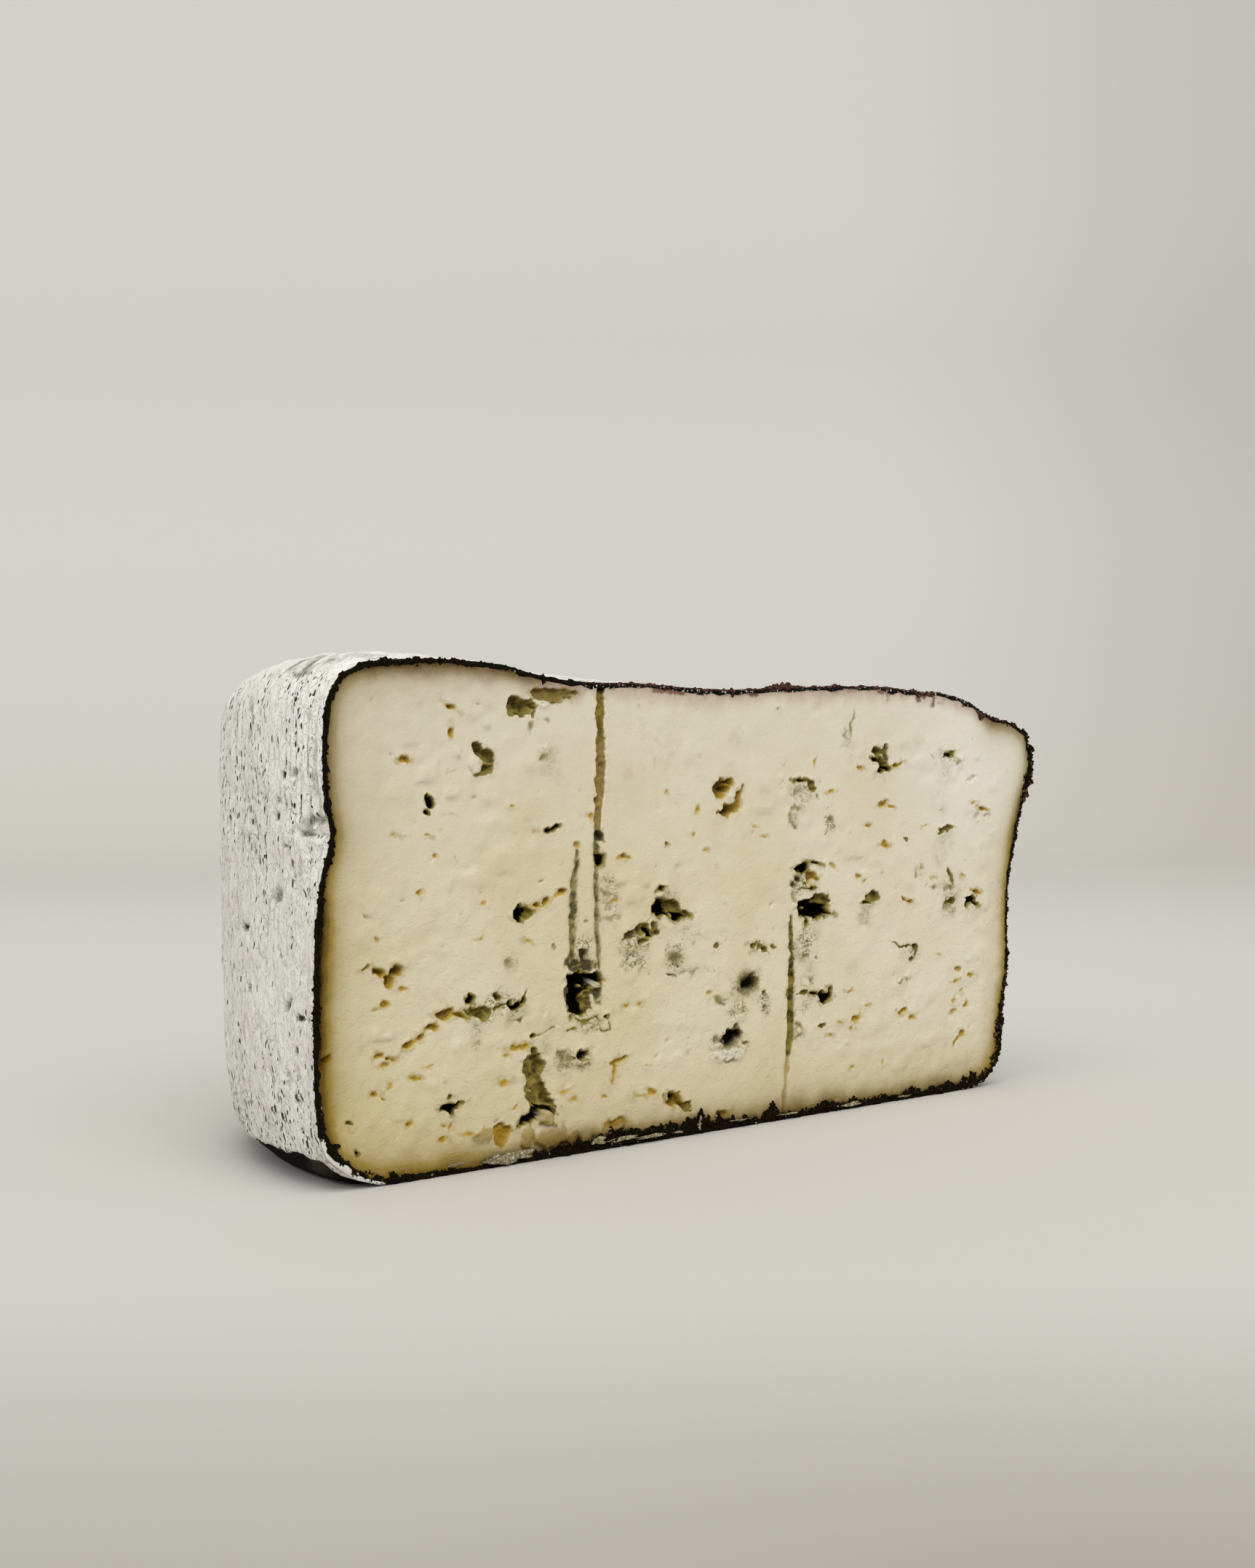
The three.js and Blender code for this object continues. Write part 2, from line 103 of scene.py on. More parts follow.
TEARS = {"mould": [
    (0.5, [(-47.4, 41.2, 7, 2.6), (-43.4, 35.6, 2.4, 6), (-51.2, 35, 1.8, 7)]),
    (1.4, [(-42.2, 68.8, 2, 2.6)]), (1.2, [(24.6, 58.2, 1.2, 1.4), (23.4, 56.2, 1.4, 1)]),
    (1.4, [(-47, 43, 1.8, 2.4)]), (1.3, [(22.8, 41.5, 1.8, 2.2), (22.4, 38.3, 1.2, 1.1)]),
], "brown": [
    (1, [(-56.4, 99.8, 10.4, 2.8), (-50.6, 100.1, 3.8, 0.8, 8)]),
], "ochre": [
    (2.8, [(-18.4, 8.9, 4.6, 2.2, -14), (-16.4, 7.6, 2.4, 1.2, -30)]), (1.2, [(30.2, 58, 4.4, 3.4)]),
    (3.6, [(-2.4, 80, 6, 4.2, 8), (0.8, 81.4, 2, 1.4, 10)]),
    (3, [(0.2, 74.6, 5.6, 3, 8), (3, 76.2, 2, 2.6), (3.6, 78.4, 1.3, 3.6, -24)]),
    (1.6, [(-106.6, 43.5, 1.8, 0.9, 10), (-103.2, 42.2, 3.6, 1.4, -8)]),
    (2.6, [(-100.3, 41, 2.2, 2), (-98.7, 42.4, 2.6, 2.2, 40)]),
    (1.6, [(-86.6, 33, 4.6, 1.8), (-82.6, 32.3, 3, 0.7, -10)]),
    (1.6, [(-90, 30.7, 2.5, 1.1), (-92.4, 28.8, 1.9, 0.9)]),
    (1.6, [(-102.6, 25.7, 2.2, 0.9, -6), (-100.1, 25.2, 1.9, 0.8, -14)]),
    (1.5, [(-95.4, 27.6, 2.8, 1.2, 30)]),
    (1.6, [(-60.4, 54.3, 3, 1), (-57.9, 55.4, 1.9, 1.1, 10), (-53.5, 57.4, 1.5, 1.1, 20)]),
    (0.8, [(-65.4, 24.5, 5.2, 1, -3)]), (1.4, [(63.1, 86.1, 2.6, 0.8, 12), (65.3, 86.9, 2, 0.5, 20)]),
    (1.5, [(67.3, 51.3, 2.8, 0.9, -24), (69.6, 50.7, 2.4, 0.7, -4)]),
    (1.2, [(98.2, 52.6, 2.8, 0.8, -12)]), (1.2, [(101.6, 75, 3.2, 1.2, -12)]),
    (1.2, [(58.2, 76.2, 3.2, 1.1, 12)]), (1.2, [(-35.6, 19.5, 4.6, 0.9, 10), (-37.7, 17, 0.8, 3, -12)]),
    (1, [(-34.5, 64.2, 2.6, 1.2)]), (1.1, [(-85, 96.2, 2.8, 0.8, -22)]),
    (1, [(-84.6, 91.3, 0.9, 1.9, -12)]), (1.1, [(-96.4, 84.6, 2.2, 1.2, -14)]),
    (1, [(66.3, 23, 3.2, 1.2)]), (1, [(91.8, 15.3, 1.9, 1.3), (89.6, 13.7, 2.6, 0.9, 38)]),
    (1.1, [(-104.3, 18.2, 2.2, 1.1), (-102.4, 17.2, 1.4, 0.6)]),
    (1.4, [(-116.2, 26.8, 2, 0.9, 30), (-116.8, 25.6, 0.8, 1.8)]),
], "olive": [
    (2.6, [(-46.2, 33.2, 2.8, 4)]), (1.8, [(-63.6, 53, 3.4, 1.6)]),
    (2.8, [(-18.4, 52.4, 5.4, 3.2, -22), (-14.6, 51, 2, 1, -10)]),
    (2.4, [(33.4, 52.4, 6, 3.2, 6), (27.2, 51.8, 2, 1.4)]),
    (3, [(59.2, 89, 2.4, 4.6, 4), (58.4, 86, 3.6, 3), (56, 89.4, 2.8, 2.4)]),
    (1.2, [(87.3, 90.1, 2, 0.7), (84.4, 88.3, 1.4, 0.5, 40)]),
    (1.4, [(-14, 6.6, 2, 2.2, -40), (-12.9, 5.4, 1, 0.7)]), (1.2, [(-84.9, 16.1, 1.5, 1, 20)]),
    (1.8, [(53.8, 52.6, 4.6, 2.4, 8)]), (1, [(-110.4, 13.4, 1.3, 0.7, -30)]),
    (2.2, [(-76.8, 32.8, 5, 2.3), (-72.3, 36, 2.2, 1.3, -20)]),
    (2.4, [(-65.2, 96.6, 7.2, 3.6, 6), (-67.6, 97, 2.6, 2.6)]), (1.8, [(-61.7, 95.6, 0.9, 2.4, 16)]),
    (2.4, [(-77.6, 88, 2.4, 1.8), (-76.4, 86.6, 3, 1.6, -40), (-74.6, 85.9, 2.4, 3.6, 10),
           (-74.6, 83.6, 2.6, 1.8), (-76.8, 82.4, 2.6, 0.6, 20)]),
    (2.6, [(-61.4, 19.4, 5.6, 6.4), (-61.2, 16, 5.8, 4.6), (-61.6, 23, 1.6, 2.4)]),
    (3, [(-60, 13.2, 7.6, 4.2, -16)]),
    (2.2, [(-30.8, 47.4, 6.8, 2.4, 14), (-24.2, 48, 2.6, 2.6), (-28.8, 45.2, 2.8, 1)]),
    (2, [(71, 39.1, 1.8, 0.8), (71.7, 37.9, 0.9, 2, -8), (70.6, 36.2, 2, 0.8, 6)]),
    (1.8, [(85.8, 69.6, 4.6, 0.9, 2), (86.1, 70.2, 1.2, 0.9), (83.4, 68.9, 2.4, 0.5, 24)]),
    (1.8, [(30, 80.8, 2.6, 2, -20), (30.8, 79.9, 1.8, 0.8)]),
    (1.8, [(87.2, 50.3, 4.2, 1.2, 8), (85.2, 49.7, 1.6, 0.6)]), (1.2, [(86.9, 57.2, 1.1, 3.2, 24)]),
    (1.3, [(27.2, 30.5, 2, 1.2)]), (1.1, [(34.3, 21.4, 2.4, 0.7)]),
    (1.3, [(12.3, 41.3, 2.6, 1.1, -16), (9, 42.6, 1.7, 1.3)]), (1, [(16.1, 42.1, 1.8, 0.7)]),
    (0.9, [(-4.4, 42.8, 1.3, 1, 30)]),
# Black: dark mould, painted near black so that it also stands for the shade deep in these holes.
], "black": [
    (4.6, [(-48.4, 38, 6, 3.8, 4), (-44.2, 37.8, 4.2, 2.6)]), (3.8, [(-48.6, 33.2, 5.2, 6.4, 6)]),
    (1.6, [(-42, 64, 1.9, 2.4)]), (3.2, [(-65.8, 53, 2.4, 2.7), (-64.3, 53.1, 1.8, 1.2, 10)]),
    (3.6, [(-62.6, 9.2, 5.4, 2.4, 12), (-61, 10.6, 3, 2.2)]),
    (2.6, [(-58.4, 11.3, 4.4, 0.9, -10), (-56, 10.3, 1.8, 0.8, -50)]),
    (3, [(-47.5, 21.3, 2.5, 1.9, 10)]), (4.2, [(-23, 52.5, 3.8, 3.8), (-17.2, 50.5, 5.6, 1.7, -4)]),
    (2.6, [(-22.6, 56.9, 2.4, 1.2)]),
    (5, [(30.8, 50.4, 9.8, 4.6), (27.8, 47.4, 1.1, 1.8), (36.6, 49, 2.4, 0.6, -6)]),
    (2.8, [(26.9, 60.8, 3.2, 2.2, 14), (24.4, 60.2, 2, 0.7), (31.4, 61.9, 3, 0.6, -12)]),
    (2.6, [(34.9, 28.6, 3.8, 2.5, -6), (31.4, 29.2, 2.2, 0.6, -8), (36.9, 30.4, 0.9, 1.2)]),
    (2.6, [(55.8, 87, 2.8, 0.9, -16), (57.6, 84.7, 2.6, 1.2), (59.9, 85, 2.2, 0.8)]),
    (2.4, [(86.1, 89.3, 2.3, 1.4, 12)]), (3, [(-19.2, 9.4, 2.8, 1.2, -6)]),
    (2.8, [(-85, 13.6, 2.8, 1.8), (-82.6, 13.9, 2.6, 0.6, 14), (-86.6, 13.3, 1.2, 0.6)]),
    (2.2, [(51.6, 51.3, 2.4, 0.9)]),
    (2.4, [(96, 50.4, 2.6, 1.4, 10), (94.5, 49.5, 1.3, 0.9, 30), (98.2, 49.5, 2.4, 0.5, -10),
           (97, 51.2, 0.9, 1)]),
    (2, [(-91, 77.1, 1.1, 0.9, -30), (-89.7, 76.3, 1.7, 1.3)]), (2, [(-90.9, 74.4, 0.9, 1.3)]),
    (2, [(-57, 70.3, 1.9, 0.8, 8), (-55.2, 70.9, 1.8, 0.6, 12)]), (0.8, [(-108.2, 6.9, 0.5, 0.7)]),
    (1.8, [(-79.4, 35.4, 1.9, 1.2), (-79.4, 35.6, 0.8, 2, 20)]),
    (2, [(-68.6, 34, 1.3, 0.9), (-66.3, 33.7, 2.2, 1, 6), (-64.9, 34.4, 0.8, 1.4, -20)]),
    (0.9, [(-20.5, 66.5, 0.7, 0.6)]), (0.9, [(68.1, 67, 0.8, 0.6)]),
    (2.2, [(-26.5, 46.9, 1.8, 1.1), (-29.9, 44.9, 0.9, 1)]), (2, [(26.2, 82, 4.2, 0.7, 4)]),
    (1.4, [(30.4, 55.7, 1.9, 0.8)]), (1.8, [(-62, 26.7, 1.2, 0.7, 10)]),
    (1.2, [(-50.5, 27.3, 1.3, 0.5)]), (1.4, [(-40, 28.9, 1.2, 0.7)]), (3.8, [(-4.2, 79.6, 2, 2.2, 20)]),
    (2.8, [(-1.2, 74, 2, 1.3)]),
]}
# The ovals of small eyes lined with ochre.
EYES = [
    (-84.6, 82.6, 1.8, 0.6, 8), (-88.1, 65.4, 1.2, 0.9), (-93.2, 58, 1.3, 0.8), (-84.8, 73.8, 1.8, 0.4),
    (-99.3, 69.6, 1.5, 0.4), (-91, 69.6, 1.3, 0.5, -20), (-103.2, 49.2, 1.2, 0.7, -20),
    (-96.8, 38.8, 1.8, 0.9, -10), (-102, 35.9, 1.8, 1.1), (-104.2, 35.1, 1.6, 0.5),
    (-101.4, 24, 2.2, 0.8), (-94, 20.8, 2.2, 0.9, -8), (-100, 19.6, 1.5, 0.8, 10),
    (-90, 23.1, 1.9, 0.5, 10), (-96, 11.7, 1.4, 0.8, -20), (-98.2, 12.4, 1.6, 0.4, -10),
    (-86, 7.2, 1.8, 0.9), (-86.3, 10.4, 1, 0.6), (-84.5, 9.9, 0.9, 0.9), (-79.6, 7.8, 2.2, 0.5, -8),
    (-77, 6.8, 1.4, 0.8), (-75.5, 55.8, 1.2, 0.7), (-76.2, 48.3, 1.8, 0.6, 10),
    (-63.2, 46.7, 1.6, 0.5, -10), (-67.3, 75.2, 1.3, 0.5), (-44.9, 73.1, 1.6, 1), (-61, 70, 1.1, 0.4),
    (-48.7, 66.5, 1.3, 1.5), (-69, 23.3, 1.3, 0.7), (-69.4, 17.6, 1.8, 0.7, 14),
    (-66.6, 12.3, 2.2, 0.6, 20), (-53.4, 6.6, 1.2, 1), (-52.2, 14.2, 2.6, 0.6, 12),
    (-52.6, 15.6, 1.8, 0.3, 30), (-49.2, 12, 1.9, 0.5), (-40.4, 11.6, 1.6, 0.5),
    (-40.8, 37.2, 1.7, 0.7, 10), (-37.6, 55, 2, 0.4, 4), (-10.7, 74.3, 1.2, 0.9, 40),
    (-12, 68.6, 1.3, 0.6, 10), (-20.7, 78.7, 1, 1.1), (-7.4, 65.4, 1, 0.5, 10), (-4.4, 61.8, 1.2, 0.5),
    (-29, 31.3, 1.2, 0.8), (-33.8, 31.1, 1.2, 0.6, 20), (-26.7, 17.1, 2.2, 0.5, -4),
    (-25.4, 11.3, 2.8, 0.9, -20), (-28.6, 11, 2, 0.5), (-6.6, 32, 1.5, 0.8, -10),
    (9.4, 71, 1.4, 0.5, 6), (12.3, 68.4, 1.2, 0.4), (17.7, 98.8, 0.9, 0.7), (32.1, 86.3, 0.7, 1.4, -20),
    (37.2, 79.2, 1.8, 0.5, 4), (36.5, 75.2, 1.1, 0.4), (52.2, 70.8, 1.8, 0.8, 20),
    (58.9, 65.7, 2.6, 0.7, -8), (38.4, 60.8, 2.4, 0.9, -20), (48.5, 58, 1.8, 1.3), (50.4, 57, 1, 0.4),
    (57.4, 58, 1.4, 0.4, 6), (61.6, 75.8, 2.2, 0.6, -10), (44.4, 29.4, 1.7, 0.5, 8),
    (41, 22, 2.6, 0.6, -16), (45.2, 20.2, 0.8, 1.4), (47.7, 22.5, 2.3, 1, 12), (47.3, 19.5, 0.9, 0.5),
    (52.2, 25.3, 2.6, 0.5, 12), (37.3, 19.2, 1.8, 0.7), (57.9, 10.4, 1.4, 1), (46, 10, 1.2, 0.5),
    (70.7, 21.2, 1.6, 0.8, 10), (90.7, 32.6, 2.3, 1.4), (95.8, 30.3, 2.8, 0.8, 8),
    (88.9, 29.3, 1.5, 0.6, 16), (91.5, 26.4, 2.2, 0.6, 8), (88.3, 24.5, 1.2, 0.7),
    (93.5, 22.8, 1.9, 1.4, 20), (88.6, 21, 1.8, 1.2, 16), (92.2, 56.7, 1.6, 0.8),
    (76, 70.9, 1.5, 0.4, 8), (83, 74.3, 1.2, 0.5), (97.5, 76.6, 1.6, 0.4), (48.8, 84.9, 1.8, 0.6),
    (81.6, 36.8, 1.6, 0.5, -8), (74, 60, 1.4, 0.5), (79.8, 56.7, 1.4, 0.4, -10),
    (93.5, 102.4, 1.2, 0.6), (-36.4, 5.6, 5, 1.2, 4), (-2, 4, 3.6, 1.1, 4),
]
PALE_EYES = [(98.8, 73, 1.9, 1.2, 20), (103.6, 72.6, 2.2, 0.9), (97.2, 83.2, 4.8, 0.8, 14)]
# A soft hollow lined with mould: how deep, how dark, and its oval.
MOULD_HOLLOWS = [
    (1.8, 0.75, (6.8, 33.4, 7.4, 6)), (2.2, 1, (1, 20.9, 7.2, 4.4, 8)),
    (0.7, 0.35, (-18, 41, 6.2, 3.2, -6)), (0.6, 0.2, (-52.6, 20.6, 4.4, 4.8)),
    (0.5, 0.15, (85.6, 48.6, 4.4, 2.6)), (0.6, 0.3, (-4.2, 21.2, 2.6, 2.2)),
    (0.7, 0.5, (2.6, 23.4, 1.9, 2.2)), (0.6, 0.4, (6.2, 19.5, 2.8, 1.3)),
    (0.5, 0.3, (37.6, 72.3, 2.6, 1.9)), (0.5, 0.4, (12, 30.8, 1.7, 1.1)),
    (0.5, 0.4, (12.8, 27.6, 1.6, 1.6)), (0.5, 0.25, (-68.8, 42.2, 2.6, 2.8)),
    (0.5, 0.3, (-55.4, 45.4, 1.2, 1.1)), (0.4, 0.3, (28, 39.2, 3, 1.4)),
    (0.4, 0.3, (32, 38.2, 1.4, 0.9)), (0.4, 0.25, (27, 43.7, 1.1, 1.6)),
    (0.4, 0.3, (28.2, 41.5, 2.4, 0.9)), (0.4, 0.25, (30, 32.8, 1.3, 1.5)),
    (0.4, 0.2, (23.2, 75.2, 2.2, 1.6)), (0.4, 0.2, (24.2, 79.2, 1.4, 2.8)),
    (0.4, 0.2, (23.8, 53.6, 1.6, 3)), (0.4, 0.25, (-46.2, 49.7, 1.5, 0.8)),
]
# A thread or a crease, by what shows in it: its width, its depth and the points it passes.
STROKES = {"bare": [
    (1.1, 0.35, [(-32.4, 101.4), (-30, 100), (-29.3, 97), (-28.6, 94.5), (-27, 91.5)]),
    (0.9, 0.3, [(-27, 91.5), (-26, 89), (-25, 86.5), (-24.4, 84), (-24, 81)]),
    (0.9, 0.3, [(-31.2, 92.2), (-29, 91), (-26, 91), (-22, 89), (-18.5, 87)]),
    (0.9, 0.3, [(-24.6, 93.3), (-22.6, 92), (-20.8, 90.7)]),
    (0.8, 0.3, [(-19.6, 78.2), (-17.4, 75.4), (-15.4, 74)]),
    (0.9, 0.3, [(-100.4, 65), (-100.3, 62), (-98.5, 61), (-97.3, 62.4)]),
    (0.9, 0.3, [(-101, 60.2), (-99.6, 59.2), (-98.6, 59.4)]),
    (0.7, 0.25, [(-104.6, 50.2), (-100, 50.6), (-96, 51)]),
    (0.7, 0.3, [(-82, 47.6), (-79.4, 47.5), (-77.2, 48)]),
    (0.8, 0.3, [(-73.2, 51), (-72.4, 53.6), (-72.8, 55)]), (0.8, 0.3, [(-88.8, 97.3), (-87, 97)]),
    (0.8, 0.3, [(-84.2, 84.6), (-82.2, 84.3), (-82, 83.2)]),
    (0.8, 0.35, [(-110.4, 12.6), (-109.6, 10.6), (-108.5, 9)]),
    (0.8, 0.25, [(40, 70.2), (41.5, 71), (44, 71), (45, 72.3), (47, 71.8)]),
    (0.8, 0.25, [(52.6, 70.4), (54, 69.2), (55, 68.4)]),
    (0.8, 0.35, [(71, 50.2), (74, 49), (76, 47.8), (79, 46.4)]),
    (0.7, 0.25, [(38.4, 54), (38.2, 52.6), (36.2, 52)]),
    (0.8, 0.25, [(49, 85.1), (50.4, 84.6), (53.4, 84.3)]),
    (0.8, 0.3, [(-94.6, 13.8), (-93.6, 13.4), (-93.2, 12.8)]),
    (0.9, 0.3, [(-99.6, 25), (-98, 25.3), (-96.6, 27)]),
    (0.8, 0.25, [(79.8, 40.6), (82, 41), (85, 40.8)]),
], "ochre": [
    (1.3, 0.5, [(-63.4, 54.4), (-61, 54.2), (-58, 55.4), (-55.2, 56), (-52.5, 57.5)]),
    (0.8, 0.5, [(-94.6, 28.2), (-92, 29), (-90, 30.5), (-87.4, 32)]),
    (0.7, 0.4, [(60.4, 85.4), (62, 85.8), (64.4, 86.6), (66.2, 87.2)]),
], "dark": [
    (0.8, 0.4, [(-63, 97.3), (-58.6, 97.8), (-54, 98.1), (-48.5, 100.1)]),
    (0.6, 0.6, [(-83.6, 32.3), (-81, 31.9), (-79, 31.9)]),
    (0.6, 0.6, [(-74.2, 33.2), (-71.4, 33.3), (-69.4, 34), (-66.4, 33.4), (-64.7, 34.6), (-63.2, 37)]),
    (0.5, 0.4, [(-69.8, 30.3), (-67, 30.2), (-64.4, 30.6)]),
    (0.6, 0.5, [(-62.2, 26.6), (-59, 26.8), (-56.5, 27.6), (-54.8, 28.8)]),
    (0.5, 0.4, [(-57.4, 29.5), (-56.2, 29.8)]),
    (0.6, 0.5, [(-50, 30), (-47.6, 28.5), (-45.2, 28.9), (-43, 29.3), (-41.5, 28.5)]),
    (0.5, 0.4, [(-40, 28.9), (-38.8, 28), (-38.3, 26.4), (-40.2, 25.9), (-42, 26.4), (-42.4, 27.8)]),
    (0.5, 0.4, [(-50.2, 41), (-48.6, 41.3), (-47.2, 41.6)]),
    (0.5, 0.4, [(-49.8, 19.1), (-47.4, 19.3), (-45, 19.4)]),
    (0.5, 0.5, [(-36.2, 45), (-33.6, 47.3), (-30.6, 48.5), (-27.2, 49.2), (-24.4, 50.9)]),
    (0.5, 0.4, [(-35.8, 40.1), (-33, 40.2), (-30.6, 40.8), (-27.4, 41.8)]),
    (0.5, 0.4, [(-30.9, 45), (-30.6, 43), (-32.2, 42.2)]),
    (0.5, 0.4, [(-21.6, 37.9), (-19, 37.3), (-16.8, 37)]),
    (0.5, 0.4, [(0.7, 28.2), (2, 26.8), (4, 26.4), (5.8, 27.5)]),
    (0.6, 0.4, [(11.2, 28.6), (12.4, 27.6), (13.4, 26.4)]),
    (0.5, 0.4, [(11, 31.2), (12.4, 30.8), (13, 31.4)]),
    (0.5, 0.4, [(35.2, 68.5), (36, 69.1), (37.2, 69.4)]),
    (0.5, 0.4, [(23, 55.7), (26, 55.8), (29, 55.6), (33.2, 55.6)]),
    (0.5, 0.4, [(24.4, 81.2), (25.4, 82), (28.4, 82.1), (31, 81.5)]),
    (0.4, 0.4, [(81.6, 90.1), (84, 90.3), (86.6, 90.4), (90, 90.4)]),
    (0.5, 0.4, [(24, 29.8), (25.6, 29.9), (27, 30.3), (28.8, 30)]),
    (0.5, 0.4, [(25.4, 25.8), (26.6, 26), (28, 26.9)]),
    (0.6, 0.5, [(61, 41), (64, 40.1), (67, 39.3), (69.6, 39)]),
    (0.5, 0.4, [(92.4, 51.4), (94, 50.9), (95.4, 50.4)]),
    (0.5, 0.4, [(63.6, 29.9), (66, 30.2), (67, 31.2), (69, 30.3)]),
], "grey": [
    (0.9, 0.3, [(22.6, 22.9), (25.2, 22.2), (26.3, 21), (25.4, 19.8), (23.2, 18.8)]),
    (0.8, 0.3, [(22.8, 38.4), (24.4, 38.4), (25.6, 39.8), (26.6, 39.9)]),
    (0.7, 0.25, [(33.8, 44.2), (32, 42.7), (29.6, 42.4)]),
    (0.7, 0.25, [(30.8, 46.8), (32.4, 46.6), (33.6, 47)]),
    (0.7, 0.25, [(25.2, 42.2), (26.6, 42.4), (27.6, 41.4)]),
    (0.7, 0.3, [(36.4, 71.8), (36.3, 70.2), (36.1, 69.2)]),
    (0.7, 0.25, [(47.6, 100.2), (46.2, 97.4), (45, 95.8), (45.4, 93.6), (43.2, 91.4), (41, 89.6)]),
    (0.8, 0.25, [(43.4, 94.6), (42.4, 93.2), (43.6, 92.4)]),
    (0.7, 0.25, [(-60.6, 85.2), (-58.6, 85.8), (-57.2, 87)]),
    (0.6, 0.25, [(-59, 94.7), (-58, 93.9), (-57.3, 93.3)]),
    (0.7, 0.25, [(-63.6, 91.2), (-63, 92.6), (-61.8, 94)]),
    (0.7, 0.3, [(-77.4, 82.2), (-76.2, 83.1), (-74.6, 83.3)]),
    (0.7, 0.3, [(-42.4, 56.9), (-40.4, 56.5), (-37.8, 56.6)]),
    (0.7, 0.3, [(-42.4, 55.1), (-39.6, 54.6), (-37.6, 56)]),
    (0.6, 0.25, [(-40.3, 61.6), (-39.5, 59.4), (-39, 58.4)]),
    (0.7, 0.25, [(-42, 50.8), (-38, 51), (-34.2, 51.4)]),
    (0.7, 0.25, [(-19.4, 46.6), (-16.6, 46.3), (-14, 47.5), (-10, 48.3)]),
    (0.7, 0.25, [(-13, 43.6), (-11.8, 44.6), (-11, 45.4)]),
    (0.7, 0.25, [(-17.4, 37.8), (-13.4, 37.6), (-9.6, 37.9)]),
    (0.6, 0.2, [(-7.6, 37.8), (-6.4, 37), (-4.6, 37.3)]),
    (0.9, 0.25, [(-5.4, 31), (-3, 30.2), (-0.6, 29.4)]),
    (0.8, 0.25, [(-1.4, 31.6), (0.6, 31.4), (2, 32)]),
    (0.8, 0.25, [(4.6, 42.8), (6.4, 42.7), (8.4, 42.9)]),
    (0.7, 0.25, [(-5.6, 17.6), (-3.6, 15.9), (-0.4, 15.5), (2.8, 16.1), (4.8, 17.4)]),
    (0.8, 0.3, [(-54.9, 20.2), (-54, 22.4), (-51.6, 22.8), (-50.6, 20.6), (-51.8, 18.4), (-54, 18.9)]),
    (0.7, 0.25, [(-59.8, 24.2), (-58.4, 24.1), (-57.4, 24.4)]),
    (0.7, 0.2, [(90.2, 88.6), (90.8, 87.2), (89.6, 86.2), (87.8, 86)]),
    (0.7, 0.2, [(72, 59.6), (71.8, 58.2), (73.4, 57)]),
    (0.9, 0.2, [(78, 54.2), (82, 54.6), (84.6, 53.8), (90.4, 54.3)]),
    (0.8, 0.2, [(87.6, 51.4), (87.2, 53.2), (87.9, 55.2)]),
    (0.9, 0.2, [(48, 48.8), (49.4, 46.6), (51.6, 46.2), (53.6, 47.6)]),
    (0.7, 0.25, [(23.2, 76.4), (24.8, 75.8), (27.6, 76)]),
    (0.6, 0.2, [(31.8, 79.2), (32.6, 77.8), (34.4, 77.6)]),
    (0.7, 0.2, [(22.2, 74.4), (21.8, 72.2), (23.4, 70.2), (25, 70.4)]),
]}
# A needle's channel: its lining and the points of (x, z, width) down its length.
NEEDLE_CHANNELS = [
    ("brown", [(-41.6, 105, 2.9), (-41.7, 98, 2.7), (-41.6, 91, 2.6), (-41.5, 85, 3),
               (-41.9, 79, 2.7), (-42.3, 74, 2.5), (-42.6, 71, 1.6)]),
    ("grey", [(-42.9, 71, 1.4), (-42.9, 66, 1.8), (-43.3, 60, 1.6), (-43, 55, 1.8),
              (-42.6, 50, 1.5), (-42.4, 44, 1.3), (-42.2, 40, 1)]),
    ("grey", [(-48.9, 65.8, 1.4), (-49.7, 60, 2.3), (-50.1, 54, 2.5), (-50.2, 48, 2.4),
              (-50.6, 43, 2.1), (-50.6, 39, 1.6)]),
    ("green", [(22.2, 48.8, 1), (22.6, 44, 1.7), (22.7, 40, 1.6), (22.4, 36, 2.5),
               (22.1, 30, 2.7), (22.2, 25, 2.7), (22.3, 20, 2.4), (21.6, 16, 2)]),
    ("tan", [(21.4, 16, 1.8), (20.8, 12.5, 1.7), (19.9, 8, 1.5), (19.6, 1, 1.7)]),
]
